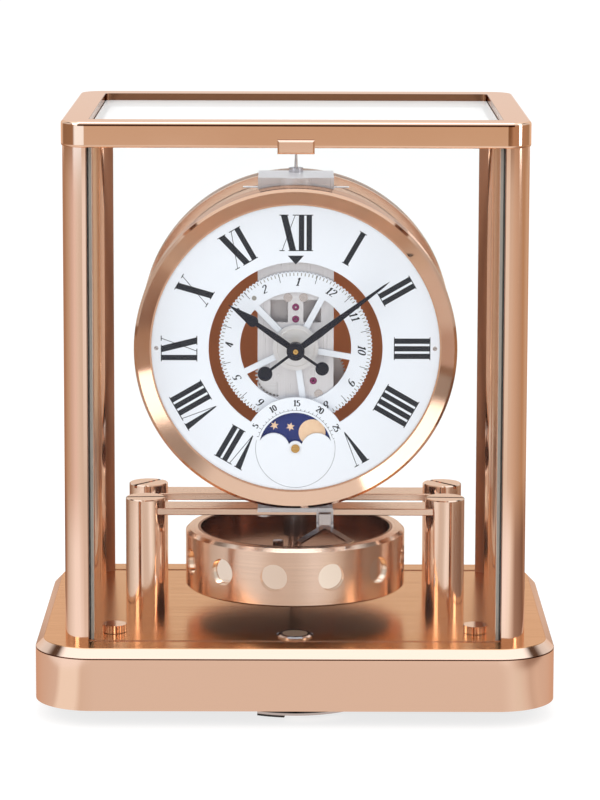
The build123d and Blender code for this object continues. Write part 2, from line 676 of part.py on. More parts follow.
# Transport lock
def make_lock_lever():
    """A flat lever under the plinth; its shaft swings a cam under the lifting post."""
    low = LOCK_CLEARANCE + LOCK_GRIP
    high = low + LOCK_BLADE
    pivot = Pos(0, LOCK_PIVOT_Y, 0)

    def sector(inner, outer, start, end):
        """Part of a ring, with angles from straight ahead, positive to the right."""
        ring = Circle(outer) - Circle(inner)
        steps = 6
        fan = [(0, 0)]
        for step in range(steps + 1):
            angle = math.radians(-90 + start + (end - start) * step / steps)
            fan.append((2 * outer * math.cos(angle), 2 * outer * math.sin(angle)))
        return ring & make_face(Polyline(*fan, close=True))

    handle = sector(LOCK_HANDLE_INNER, LOCK_HANDLE_OUTER, -LOCK_HANDLE_LEFT_ANGLE, LOCK_HANDLE_RIGHT_ANGLE)
    stem = Pos(0, -LOCK_HANDLE_INNER / 2 - SEAT_GAP) * Rectangle(LOCK_STEM_WIDTH, LOCK_HANDLE_INNER)
    blade = handle + stem + Circle(LOCK_HUB_RADIUS)
    lever = extrude(pivot * Pos(0, 0, low) * blade, LOCK_BLADE)
    lever += upright(LOCK_HUB_RADIUS, high, FOOT_HEIGHT - FACE_GAP, 0, LOCK_PIVOT_Y)
    lever += upright(LOCK_SHAFT_RADIUS, high, CAM_TOP, 0, LOCK_PIVOT_Y)
    keep("lock_lever", lever)
    grip = sector(LOCK_HANDLE_INNER, LOCK_HANDLE_OUTER, -LOCK_HANDLE_LEFT_ANGLE, -LOCK_GRIP_END_ANGLE)
    keep("lock_lever_grip", extrude(pivot * Pos(0, 0, LOCK_CLEARANCE) * grip, LOCK_GRIP))


def make_lock_cam():
    """The arm on the lever's shaft, with a ramp that runs under the lifting post."""
    reach = -LOCK_PIVOT_Y
    floor = COVER_TOP + CAM_HEIGHT_OVER_COVER
    travel = reach * math.sin(math.radians(LOCK_SWING_ANGLE))
    arm = block(-LOCK_STEM_WIDTH / 2, LOCK_STEM_WIDTH / 2, LOCK_PIVOT_Y, -CAM_WIDTH / 4, floor, CAM_TOP)
    arm += upright(LOCK_HUB_RADIUS, floor, CAM_TOP, 0, LOCK_PIVOT_Y)
    pad = LIFT_POST_FLANGE
    ramp = make_face(Polyline(
        (-pad, 0, floor), (travel + pad, 0, floor), (travel + pad, 0, CAM_TOP + LIFT_TRAVEL),
        (travel, 0, CAM_TOP + LIFT_TRAVEL), (pad / 2, 0, CAM_TOP), (-pad, 0, CAM_TOP), close=True))
    arm += Pos(0, CAM_WIDTH / 4, 0) * extrude(ramp, CAM_WIDTH / 2, both=True)
    arm -= upright(LOCK_SHAFT_RADIUS + SEAT_GAP, floor - OVERRUN, CAM_TOP + OVERRUN, 0, LOCK_PIVOT_Y)
    keep("lock_cam", arm)


def make_lift_post():
    floor = CAM_TOP + LIFT_TRAVEL + FACE_GAP
    post = upright(LIFT_POST_RADIUS, floor, BASE_TOP + LIFT_POST_RISE)
    post += upright(LIFT_POST_FLANGE, floor, floor + CAM_THICKNESS)
    keep("lift_post", post)


# Cabinet
def post_section(lip):
    """The corner post in plan, with its outer corner at the origin and this lip along x."""
    back = PANE_BACK + SEAT_GAP
    lip_back = back + POST_LIP_THICKNESS
    reach = POST_FACE + lip
    side_reach = POST_FACE + POST_LIP
    start = Line((0, POST_FACE), (0, POST_CORNER))
    corner = RadiusArc((0, POST_CORNER), (POST_CORNER, 0), -POST_CORNER)
    lip = Polyline((POST_CORNER, 0), (POST_FACE, 0), (POST_FACE, back), (reach, back), (reach, lip_back))
    hollow = RadiusArc((reach, lip_back), (lip_back, side_reach), POST_HOLLOW_RADIUS)
    tail = Polyline((lip_back, side_reach), (back, side_reach), (back, POST_FACE), (0, POST_FACE))
    return make_face([start, corner, lip, hollow, tail])


def make_posts():
    """Four posts, screwed to the plinth, each with a spigot in the top frame."""
    posts = []
    for (x, y, sx, sy), (cx, cy, _, _) in zip(post_places(), corners(CABINET_HALF_WIDTH, CABINET_HALF_DEPTH)):
        plan = post_section(REAR_POST_LIP if sy > 0 else POST_LIP)
        if sx > 0:
            plan = mirror(plan, Plane.YZ)
        if sy > 0:
            plan = mirror(plan, Plane.XZ)
        post = extrude(Pos(cx, cy, BASE_TOP) * plan, POST_HEIGHT, dir=(0, 0, 1))
        post -= upright(LONG_SCREW_RADIUS + SEAT_GAP, BASE_TOP - OVERRUN, BASE_TOP + LONG_SCREW_REACH, x, y)
        post += upright(DOWEL_RADIUS, FRAME_UNDERSIDE, FRAME_UNDERSIDE + DOWEL_REACH - SEAT_GAP, x, y)
        posts.append(post)
    keep("corner_posts", *posts)


def make_top_frame():
    frame = rounded_plate(2 * FRAME_HALF_WIDTH, 2 * FRAME_HALF_DEPTH, FRAME_CORNER, FRAME_UNDERSIDE, FRAME_TOP)
    rims = frame.faces().sort_by(Axis.Z)[-1].edges() + frame.faces().sort_by(Axis.Z)[0].edges()
    frame = fillet(rims, FRAME_EDGE)
    glass_top = FRAME_TOP - TOP_GLASS_SET_DOWN
    ledge = glass_top - PANE_THICKNESS
    width = 2 * (FRAME_HALF_WIDTH - FRAME_RAIL_SIDE)
    depth = 2 * (FRAME_HALF_DEPTH - FRAME_RAIL_FRONT)
    frame -= rounded_plate(width, depth, FRAME_OPENING_CORNER, ledge, FRAME_TOP + OVERRUN)
    frame -= rounded_plate(
        width - 2 * FRAME_LEDGE, depth - 2 * FRAME_LEDGE, FRAME_OPENING_CORNER, FRAME_UNDERSIDE - OVERRUN, FRAME_TOP)
    for x, y, _, _ in post_places():
        frame -= upright(DOWEL_RADIUS + SEAT_GAP, FRAME_UNDERSIDE - OVERRUN, FRAME_UNDERSIDE + DOWEL_REACH, x, y)
    keep("top_frame", frame)
    gap = 2 * PANE_GAP
    keep("top_glass", rounded_plate(width - gap, depth - gap, FRAME_OPENING_CORNER, ledge, glass_top))


def make_panes():
    half_x = CABINET_HALF_WIDTH - POST_FACE - PANE_GAP
    half_y = CABINET_HALF_DEPTH - POST_FACE - PANE_GAP
    top = FRAME_UNDERSIDE - FACE_GAP
    floor = BASE_TOP - PANE_GROOVE
    outer_x = CABINET_HALF_WIDTH - PANE_SET_BACK
    outer_y = CABINET_HALF_DEPTH - PANE_SET_BACK
    inner_x = CABINET_HALF_WIDTH - PANE_BACK
    inner_y = CABINET_HALF_DEPTH - PANE_BACK
    left = block(-outer_x, -inner_x, -half_y, half_y, floor, top)
    right = block(inner_x, outer_x, -half_y, half_y, floor, top)
    keep("side_glasses", left, right)
    keep("back_glass", block(-half_x, half_x, inner_y, outer_y, floor, top))
    # The front pane is the door: its lower edge is round, and turns in its groove.
    radius = PANE_THICKNESS / 2
    axis_z = floor + radius + SEAT_GAP
    pane = block(-half_x, half_x, -outer_y, -inner_y, axis_z, top)
    pane += Pos(0, -outer_y + radius, axis_z) * Rot(0, 90, 0) * Cylinder(radius, 2 * half_x)
    keep("front_glass", pane)


def make_door_knob():
    """The bare pull on the door: a plate in front of the frame, on a short stem."""
    pane_face = -(CABINET_HALF_DEPTH - PANE_SET_BACK)
    plate_back = -FRAME_HALF_DEPTH - FACE_GAP
    plate_face = plate_back - KNOB_THICKNESS
    top = FRAME_UNDERSIDE - FACE_GAP
    floor = top - KNOB_STEM_HEIGHT
    plate = block(-KNOB_WIDTH / 2, KNOB_WIDTH / 2, plate_face, plate_back, floor, floor + KNOB_HEIGHT)
    plate = chamfer(plate.faces().sort_by(Axis.Y)[0].edges(), KNOB_EDGE)
    stem = block(-KNOB_STEM_WIDTH / 2, KNOB_STEM_WIDTH / 2, plate_back, pane_face, floor, top)
    keep("door_knob", plate + stem)


# Pillars and bars
def make_pillars():
    pillars, caps = [], []
    for x, y, sx, sy in corners(PILLAR_SPREAD, PILLAR_ROW):
        pillar = upright(PILLAR_RADIUS, BASE_TOP, CAP_SEAT, x, y)
        low_x, high_x = sorted((sx * (BAR_END + SEAT_GAP), sx * (BAR_END - PILLAR_RADIUS)))
        pillar -= block(low_x, high_x, y - PILLAR_RADIUS, y + PILLAR_RADIUS, BAR_SEAT, CAP_SEAT + OVERRUN)
        pillar -= upright(CAP_STEM_RADIUS + SEAT_GAP, CAP_SEAT - CAP_STEM_LENGTH - SEAT_GAP, CAP_SEAT + OVERRUN, x, y)
        pillar -= upright(LONG_SCREW_RADIUS + SEAT_GAP, BASE_TOP - OVERRUN, BASE_TOP + LONG_SCREW_REACH, x, y)
        pillars.append(pillar)
        head = upright(PILLAR_RADIUS, CAP_SEAT, CAP_SEAT + CAP_HEIGHT, x, y)
        head = chamfer(head.edges().sort_by(Axis.Z)[-1], CAP_EDGE)
        angle = FRONT_SLOT_ANGLE if sy < 0 else REAR_SLOT_ANGLE
        slot = Box(2 * PILLAR_RADIUS + OVERRUN, CAP_SLOT_WIDTH, CAP_SLOT_DEPTH)
        head -= Pos(x, y, CAP_SEAT + CAP_HEIGHT - CAP_SLOT_DEPTH / 2) * Rot(0, 0, -sx * angle) * slot
        head += upright(CAP_STEM_RADIUS, CAP_SEAT - CAP_STEM_LENGTH, CAP_SEAT, x, y)
        caps.append(head)
    keep("pillars", *pillars)
    keep("pillar_caps", *caps)


def base_plate_screw_places():
    return corners(MOVEMENT_PILLAR_SPREAD, PILLAR_ROW)


def make_bars():
    bars = []
    for side in (-1, 1):
        y = side * PILLAR_ROW
        bar = block(-BAR_END, BAR_END, y - BAR_DEPTH / 2, y + BAR_DEPTH / 2, BAR_SEAT, BAR_TOP)
        bar = chamfer(bar.edges().filter_by(Axis.X), BAR_EDGE)
        for x, screw_y, _, _ in base_plate_screw_places():
            bar -= upright(SHORT_SCREW_RADIUS + SEAT_GAP, BAR_SEAT - OVERRUN, BAR_TOP + OVERRUN, x, screw_y)
        bars.append(bar)
    keep("bridge_bars", *bars)


def make_movement_base():
    """The silver plate on the bars; its front lip carries the ears of the balance stop."""
    half = COLUMN_WIDTH / 2
    top = MOVEMENT_SEAT + DRUM_RISE
    front = -TONGUE_FRONT
    plate = block(-half, half, -BASE_PLATE_FRONT, BASE_PLATE_BACK, MOVEMENT_SEAT, top)
    lip_back = front + TONGUE_LIP_THICKNESS
    plate += block(-half, half, front, -BASE_PLATE_FRONT, MOVEMENT_SEAT, MOVEMENT_SEAT + TONGUE_THICKNESS)
    plate += block(-half, half, front, lip_back, MOVEMENT_SEAT - TONGUE_LIP, MOVEMENT_SEAT)
    plate -= upright(WIRE_HOLE_RADIUS, MOVEMENT_SEAT - OVERRUN, top + OVERRUN)
    hole_top = BAR_SEAT + SHORT_SCREW_LENGTH + SEAT_GAP
    for x, y, _, _ in base_plate_screw_places():
        plate -= upright(SHORT_SCREW_RADIUS + SEAT_GAP, MOVEMENT_SEAT - OVERRUN, hole_top, x, y)
    half_tab = STOP_WIDTH / 2
    for side in (-1, 1):
        x = STOP_X + side * (half_tab + (FACE_GAP + STOP_EAR) / 2)
        plate += Pos(x, STOP_PIVOT_Y, STOP_PIVOT_Z) * Rot(0, 90, 0) * Cylinder(STOP_EAR_RADIUS, STOP_EAR)
        plate += block(x - STOP_EAR / 2, x + STOP_EAR / 2, STOP_PIVOT_Y, lip_back,
                       STOP_PIVOT_Z - STOP_EAR_RADIUS, STOP_PIVOT_Z + STOP_EAR_RADIUS)
        plate += block(x - STOP_EAR / 2, x + STOP_EAR / 2, front, lip_back, STOP_PIVOT_Z, MOVEMENT_SEAT)
    pin = Cylinder(STOP_PIN_RADIUS, STOP_WIDTH + 2 * STOP_EAR)
    plate += Pos(STOP_X, STOP_PIVOT_Y, STOP_PIVOT_Z) * Rot(0, 90, 0) * pin
    keep("movement_base", plate)


# Drum
def ring_profile(face, sign, opening):
    """Outer band of the bezel or rear ring: grooves outside, shell seat inside."""
    back = face + sign * BEZEL_DEPTH
    points = [(DRUM_RADIUS - BEZEL_RIM, face), (DRUM_RADIUS, face + sign * BEZEL_RIM)]
    middle = (face + back) / 2 + sign * BEZEL_RIM
    for groove in range(BEZEL_GROOVES):
        centre = middle + sign * (groove - (BEZEL_GROOVES - 1) / 2) * GROOVE_PITCH
        points += [
            (DRUM_RADIUS, centre - sign * GROOVE_WIDTH / 2), (DRUM_RADIUS - GROOVE_DEPTH, centre),
            (DRUM_RADIUS, centre + sign * GROOVE_WIDTH / 2)]
    points += [
        (DRUM_RADIUS, back), (SHELL_RADIUS + SEAT_GAP, back),
        (SHELL_RADIUS + SEAT_GAP, back - sign * SHELL_OVERLAP)]
    return points


def make_bezel():
    seat = DIAL_RADIUS + SEAT_GAP
    profile = ring_profile(DRUM_FRONT, 1, BEZEL_OPENING)
    profile += [
        (seat, SHELL_FRONT), (seat, DIAL_FACE), (BEZEL_OPENING, DIAL_FACE),
        (BEZEL_OPENING, DIAL_FACE - BEZEL_STEP), (BEZEL_OPENING + BEZEL_STEP, DIAL_FACE - BEZEL_STEP)]
    keep("bezel", turned(profile))


def make_drum_shell():
    shell = turned([
        (SHELL_BORE, SHELL_FRONT), (SHELL_RADIUS, SHELL_FRONT), (SHELL_RADIUS, SHELL_BACK), (SHELL_BORE, SHELL_BACK)])
    half = COLUMN_WIDTH / 2 + FACE_GAP
    top = DRUM_CENTRE + DRUM_RADIUS + OVERRUN
    shell -= block(-half, half, BEZEL_BACK - FACE_GAP, BLOCK_BACK + FACE_GAP, DRUM_CENTRE, top)
    slot_front = BEZEL_BACK - FACE_GAP
    slot_back = REAR_PLATE_FACE + PLATE_THICKNESS + FACE_GAP
    shell -= block(-half, half, slot_front, slot_back, DRUM_FLOOR, DRUM_CENTRE)
    shell -= upright(WIRE_HOLE_RADIUS, DRUM_FLOOR, DRUM_CENTRE)
    keep("drum_shell", shell)


def make_drum_well():
    """The polished wall behind the movement, which fills the shell from side to side."""
    keep("drum_well", lying(SHELL_BORE - SEAT_GAP, WELL_SET_BACK, WELL_SET_BACK + WELL_THICKNESS))


def make_rear_ring():
    seat = SHELL_BORE
    profile = ring_profile(DRUM_BACK, -1, seat)
    cover_face = DRUM_BACK - REAR_COVER_RECESS
    profile += [
        (SHELL_BORE, SHELL_BACK), (SHELL_BORE, cover_face - REAR_COVER_THICKNESS),
        (SHELL_RADIUS, cover_face - REAR_COVER_THICKNESS), (SHELL_RADIUS, DRUM_BACK)]
    keep("rear_ring", turned(profile))
    cover = lying(SHELL_RADIUS - SEAT_GAP, cover_face - REAR_COVER_THICKNESS, cover_face)
    keep("rear_cover", cover)


def make_bellows():
    """The folded capsule that swells with warmth and winds the spring."""
    back = BELLOWS_BACK
    front = back - BELLOWS_DEPTH
    points = [(0, back), (BELLOWS_RADIUS - BELLOWS_FOLD_DEPTH, back)]
    pitch = BELLOWS_DEPTH / BELLOWS_FOLDS
    for fold in range(BELLOWS_FOLDS):
        start = back - fold * pitch
        points += [
            (BELLOWS_RADIUS, start - pitch / 3), (BELLOWS_RADIUS, start - pitch / 2),
            (BELLOWS_RADIUS - BELLOWS_FOLD_DEPTH, start - pitch)]
    boss_front = WELL_SET_BACK + WELL_THICKNESS
    points += [(BELLOWS_BOSS_RADIUS, front), (BELLOWS_BOSS_RADIUS, boss_front), (0, boss_front)]
    keep("bellows", turned(points))


# Dial
def moon_window():
    """The moon's window: an arch with two humps and a small one round the arbor."""
    window = Circle(WINDOW_RADIUS)
    for side in (-1, 1):
        window -= Pos(side * HUMP_SPREAD, -HUMP_DROP) * Circle(HUMP_RADIUS)
    window -= Circle(CENTRE_HUMP)
    window -= Pos(0, WINDOW_FOOT - WINDOW_RADIUS) * Rectangle(4 * WINDOW_RADIUS, 2 * WINDOW_RADIUS)
    return window


def dial_screw_places():
    return [(side * DIAL_SCREW_CIRCLE, DRUM_CENTRE) for side in (-1, 1)]


def make_dial():
    lobe = Pos(0, -MOON_DROP) * Circle(LOBE_RADIUS)
    outline = Circle(DIAL_RADIUS) - Circle(DIAL_OPENING)
    outline += lobe & Circle(DIAL_RADIUS)
    outline -= Pos(0, -MOON_DROP) * moon_window()
    outline -= Pos(0, -MOON_DROP) * Circle(MOON_ARBOR_RADIUS + SEAT_GAP)
    dial = slab(outline, DIAL_FACE, DIAL_BACK)
    for x, z in dial_screw_places():
        dial -= lying(DIAL_SCREW_RADIUS + SEAT_GAP, DIAL_FACE - OVERRUN, DIAL_BACK + OVERRUN, x, z)
    keep("dial", dial)
    ring = lying(DIAL_RADIUS, DIAL_BACK, SHELL_FRONT)
    ring -= lying(CLAMP_RING_BORE, DIAL_BACK - OVERRUN, SHELL_FRONT + OVERRUN)
    for x, z in dial_screw_places():
        ear = lying(CLAMP_EAR_RADIUS, DIAL_BACK, SHELL_FRONT, x, z) & lying(DIAL_RADIUS, DIAL_BACK, SHELL_FRONT)
        ring += ear
        ring -= lying(DIAL_SCREW_RADIUS + SEAT_GAP, DIAL_BACK - OVERRUN, SHELL_FRONT - DIAL_THICKNESS, x, z)
    keep("dial_clamp_ring", ring)


# Movement
def jewel_places():
    return [(THIRD_WHEEL_X, THIRD_WHEEL_Z), (0, PALLET_JEWEL_Z), (BARREL_X, BARREL_Z)]


def bridge_screw_places():
    side = MOVEMENT_PILLAR_SPREAD
    over_window = WINDOW_HIGH + BRIDGE_SCREW_RADIUS
    high = BRIDGE_TOP - WINDOW_INSIDE
    low = WINDOW_INSIDE - BRIDGE_FOOT
    plate_screws = [(-WINDOW_INSIDE, over_window), (WINDOW_INSIDE, over_window), (side - WINDOW_INSIDE, -WINDOW_HIGH)]
    return plate_screws + [(-side, high), (side, high), (-side, low), (side, low)]


def bridge_pillar_places():
    return bridge_screw_places()[3:]


def make_calendar_bridge():
    """The silver plate seen through the dial, with the tube that the month wheel turns on."""
    half = COLUMN_WIDTH / 2
    back = BRIDGE_FACE + BRIDGE_THICKNESS
    bridge = block(-half, half, BRIDGE_FACE, back, DRUM_CENTRE - BRIDGE_FOOT, DRUM_CENTRE + BRIDGE_TOP)
    for side in (-1, 1):
        low_x, high_x = sorted((side * WINDOW_INSIDE, side * WINDOW_OUTSIDE))
        window = block(
            low_x, high_x, BRIDGE_FACE - OVERRUN, back + OVERRUN, DRUM_CENTRE + WINDOW_LOW, DRUM_CENTRE + WINDOW_HIGH)
        bridge -= window
    tube_front = MONTH_FACE - FACE_GAP
    bridge += lying(CENTRE_TUBE_RADIUS, tube_front, BRIDGE_FACE)
    bridge -= lying(CENTRE_TUBE_BORE, tube_front - OVERRUN, back + OVERRUN)
    day_radius = math.hypot(DAY_WHEEL_X, DAY_WHEEL_Z) * DAY_WHEEL_TEETH / (DAY_WHEEL_TEETH + HOUR_PINION_TEETH)
    opening = Circle(day_radius) - Circle(day_radius / 3)
    lower = Pos(-day_radius / 2, -day_radius / 2) * Rectangle(day_radius, day_radius)
    bridge -= slab(opening & lower, BRIDGE_FACE - OVERRUN, back + OVERRUN, DAY_WHEEL_X, DRUM_CENTRE + DAY_WHEEL_Z)
    for x, z in ((MINUTE_WHEEL_X, MINUTE_WHEEL_Z), (DAY_WHEEL_X, DAY_WHEEL_Z)):
        bridge -= lying(PIVOT_RADIUS + SHAFT_GAP, BRIDGE_FACE - OVERRUN, back + OVERRUN, x, DRUM_CENTRE + z)
    bridge -= lying(MOON_ARBOR_RADIUS + SHAFT_GAP, BRIDGE_FACE - OVERRUN, back + OVERRUN, 0, DRUM_CENTRE - MOON_DROP)
    for x, z in jewel_places():
        bridge -= lying(JEWEL_RADIUS + SEAT_GAP, BRIDGE_FACE - OVERRUN, back + OVERRUN, x, DRUM_CENTRE + z)
    for x, z in bridge_screw_places():
        bridge -= lying(BRIDGE_SCREW_RADIUS + SEAT_GAP, BRIDGE_FACE - OVERRUN, back + OVERRUN, x, DRUM_CENTRE + z)
    keep("calendar_bridge", bridge)
    jewels = []
    for x, z in jewel_places():
        jewel = lying(JEWEL_RADIUS, BRIDGE_FACE - SEAT_GAP, back, x, DRUM_CENTRE + z)
        jewels.append(jewel - lying(JEWEL_HOLE, BRIDGE_FACE - OVERRUN, back + OVERRUN, x, DRUM_CENTRE + z))
    keep("jewels", *jewels)
    screws = []
    for index, (x, z) in enumerate(bridge_screw_places()):
        end = back if index < 3 else FRONT_PLATE_FACE - OVERRUN - SEAT_GAP
        head = BRIDGE_SCREW_RADIUS * HEAD_SHARE if index < 3 else MOVEMENT_PILLAR_RADIUS
        turn = BRIDGE_SCREW_TURN * index
        height = DRUM_CENTRE + z
        screws.append(screw_back(
            BRIDGE_SCREW_RADIUS, head, BRIDGE_SCREW_HEAD, BRIDGE_FACE, end, x, height, turn))
    keep("bridge_screws", *screws)


def make_plates():
    """Front and rear plates of the movement, standing on the base plate."""
    half = COLUMN_WIDTH / 2
    top = BLOCK_SEAT
    floor = MOVEMENT_SEAT + DRUM_RISE
    pivots = [
        (BARREL_X, BARREL_Z, BARREL_ARBOR_RADIUS), (THIRD_WHEEL_X, THIRD_WHEEL_Z, PIVOT_RADIUS),
        (0, 0, ARBOR_RADIUS)]
    front_pivots = pivots + [
        (MINUTE_WHEEL_X, MINUTE_WHEEL_Z, PIVOT_RADIUS), (DAY_WHEEL_X, DAY_WHEEL_Z, PIVOT_RADIUS)]
    rows = [("front_plate", FRONT_PLATE_FACE, front_pivots), ("rear_plate", REAR_PLATE_FACE, pivots)]
    for name, face, holes in rows:
        plate = block(-half, half, face, face + PLATE_THICKNESS, floor, top)
        for x, z, radius in holes:
            plate -= lying(radius + SHAFT_GAP, face - OVERRUN, face + PLATE_THICKNESS + OVERRUN, x, DRUM_CENTRE + z)
        keep(name, plate)


def make_movement_pillars():
    """Round spacers: four between the plates, four behind them and four under the bridge."""
    pillars = []
    for x, z, _, _ in corners(MOVEMENT_PILLAR_SPREAD, MOVEMENT_PILLAR_RISE):
        height = DRUM_CENTRE + z
        pillars.append(lying(MOVEMENT_PILLAR_RADIUS, FRONT_PLATE_FACE + PLATE_THICKNESS, REAR_PLATE_FACE, x, height))
        pillars.append(lying(MOVEMENT_PILLAR_RADIUS, REAR_PLATE_FACE + PLATE_THICKNESS, WELL_SET_BACK, x, height))
    back = BRIDGE_FACE + BRIDGE_THICKNESS
    hole_end = FRONT_PLATE_FACE - OVERRUN
    for x, z in bridge_pillar_places():
        pillar = lying(MOVEMENT_PILLAR_RADIUS, back, FRONT_PLATE_FACE, x, DRUM_CENTRE + z)
        pillar -= lying(BRIDGE_SCREW_RADIUS + SEAT_GAP, back - OVERRUN, hole_end, x, DRUM_CENTRE + z)
        pillars.append(pillar)
    keep("movement_pillars", *pillars)


def make_suspension():
    half = COLUMN_WIDTH / 2
    body = block(-half, half, -BLOCK_FRONT, BLOCK_BACK, BLOCK_SEAT, BLOCK_TOP)
    chord = BLOCK_BULGE_WIDTH / 2
    bulge_radius = (chord ** 2 + BLOCK_BULGE ** 2) / (2 * BLOCK_BULGE)
    bulge = upright(bulge_radius, BLOCK_SEAT, BLOCK_TOP, 0, bulge_radius - BLOCK_FRONT - BLOCK_BULGE)
    front_slab = block(-half, half, -BLOCK_FRONT - BLOCK_BULGE, -BLOCK_FRONT, BLOCK_SEAT, BLOCK_TOP)
    body += bulge & front_slab
    body -= upright(WIRE_HOLE_RADIUS, BLOCK_SEAT - OVERRUN, BLOCK_TOP + OVERRUN)
    pin_z = BLOCK_TOP - SIDE_PIN_DROP
    for side in (-1, 1):
        pin = Rot(0, 90, 0) * Cylinder(SIDE_PIN_RADIUS, 2 * SIDE_PIN_LENGTH)
        body += Pos(side * half, -BLOCK_FRONT / 2, pin_z) * pin
    keep("suspension_block", body)
    head = turned_upright([
        (0, BLOCK_TOP), (COLLAR_RADIUS, BLOCK_TOP), (COLLAR_RADIUS, BLOCK_TOP + COLLAR_HEIGHT),
        (HEAD_FOOT_RADIUS, BLOCK_TOP + COLLAR_HEIGHT), (HEAD_TIP_RADIUS, BLOCK_TOP + HEAD_LENGTH),
        (0, BLOCK_TOP + HEAD_LENGTH)])
    head -= upright(WIRE_RADIUS + SEAT_GAP, BLOCK_TOP - OVERRUN, BLOCK_TOP + COLLAR_HEIGHT)
    keep("suspension_head", head)


# Wheels of the motion work, which turn with the hands
def make_motion_work():
    near = module_of(MINUTE_WHEEL_X, MINUTE_WHEEL_Z, CANNON_TEETH, MINUTE_WHEEL_TEETH)
    far = module_of(MINUTE_WHEEL_X, MINUTE_WHEEL_Z, HOUR_WHEEL_TEETH, MINUTE_PINION_TEETH)
    day = module_of(DAY_WHEEL_X, DAY_WHEEL_Z, HOUR_PINION_TEETH, DAY_WHEEL_TEETH)
    phase = mesh_phase(0, CANNON_TEETH, MINUTE_WHEEL_TEETH, MINUTE_WHEEL_X, MINUTE_WHEEL_Z)
    wheel_back = MINUTE_WHEEL_FACE + WHEEL_THICKNESS
    wheel = toothed(
        MINUTE_WHEEL_TEETH, near, MINUTE_WHEEL_FACE, wheel_back, MINUTE_WHEEL_X, MINUTE_WHEEL_Z, phase)
    pinion_phase = mesh_phase(0, HOUR_WHEEL_TEETH, MINUTE_PINION_TEETH, MINUTE_WHEEL_X, MINUTE_WHEEL_Z)
    wheel += toothed(
        MINUTE_PINION_TEETH, far, MINUTE_PINION_FACE, MINUTE_WHEEL_FACE, MINUTE_WHEEL_X, MINUTE_WHEEL_Z, pinion_phase)
    plate_end = FRONT_PLATE_FACE + PLATE_THICKNESS
    wheel += lying(PIVOT_RADIUS, BRIDGE_FACE, plate_end, MINUTE_WHEEL_X, DRUM_CENTRE + MINUTE_WHEEL_Z)
    keep("minute_wheel", wheel)

    hour_back = HOUR_WHEEL_FACE + WHEEL_THICKNESS
    hour = toothed(HOUR_WHEEL_TEETH, far, HOUR_WHEEL_FACE, hour_back)
    hour += toothed(HOUR_PINION_TEETH, day, HOUR_PINION_FACE, HOUR_PINION_FACE + HOUR_PINION_LENGTH)
    hour += lying(HOUR_PIPE_RADIUS, HOUR_HAND_FACE, hour_back)
    hour -= lying(ARBOR_RADIUS + SHAFT_GAP, HOUR_HAND_FACE - OVERRUN, hour_back + OVERRUN)
    keep("hour_wheel", hour)

    day_phase = mesh_phase(0, HOUR_PINION_TEETH, DAY_WHEEL_TEETH, DAY_WHEEL_X, DAY_WHEEL_Z)
    day_back = DAY_WHEEL_FACE + DAY_WHEEL_THICKNESS
    day_wheel = toothed(DAY_WHEEL_TEETH, day, DAY_WHEEL_FACE, day_back, DAY_WHEEL_X, DAY_WHEEL_Z, day_phase)
    day_wheel += lying(PIVOT_RADIUS, BRIDGE_FACE, plate_end, DAY_WHEEL_X, DRUM_CENTRE + DAY_WHEEL_Z)
    keep("day_wheel", day_wheel)


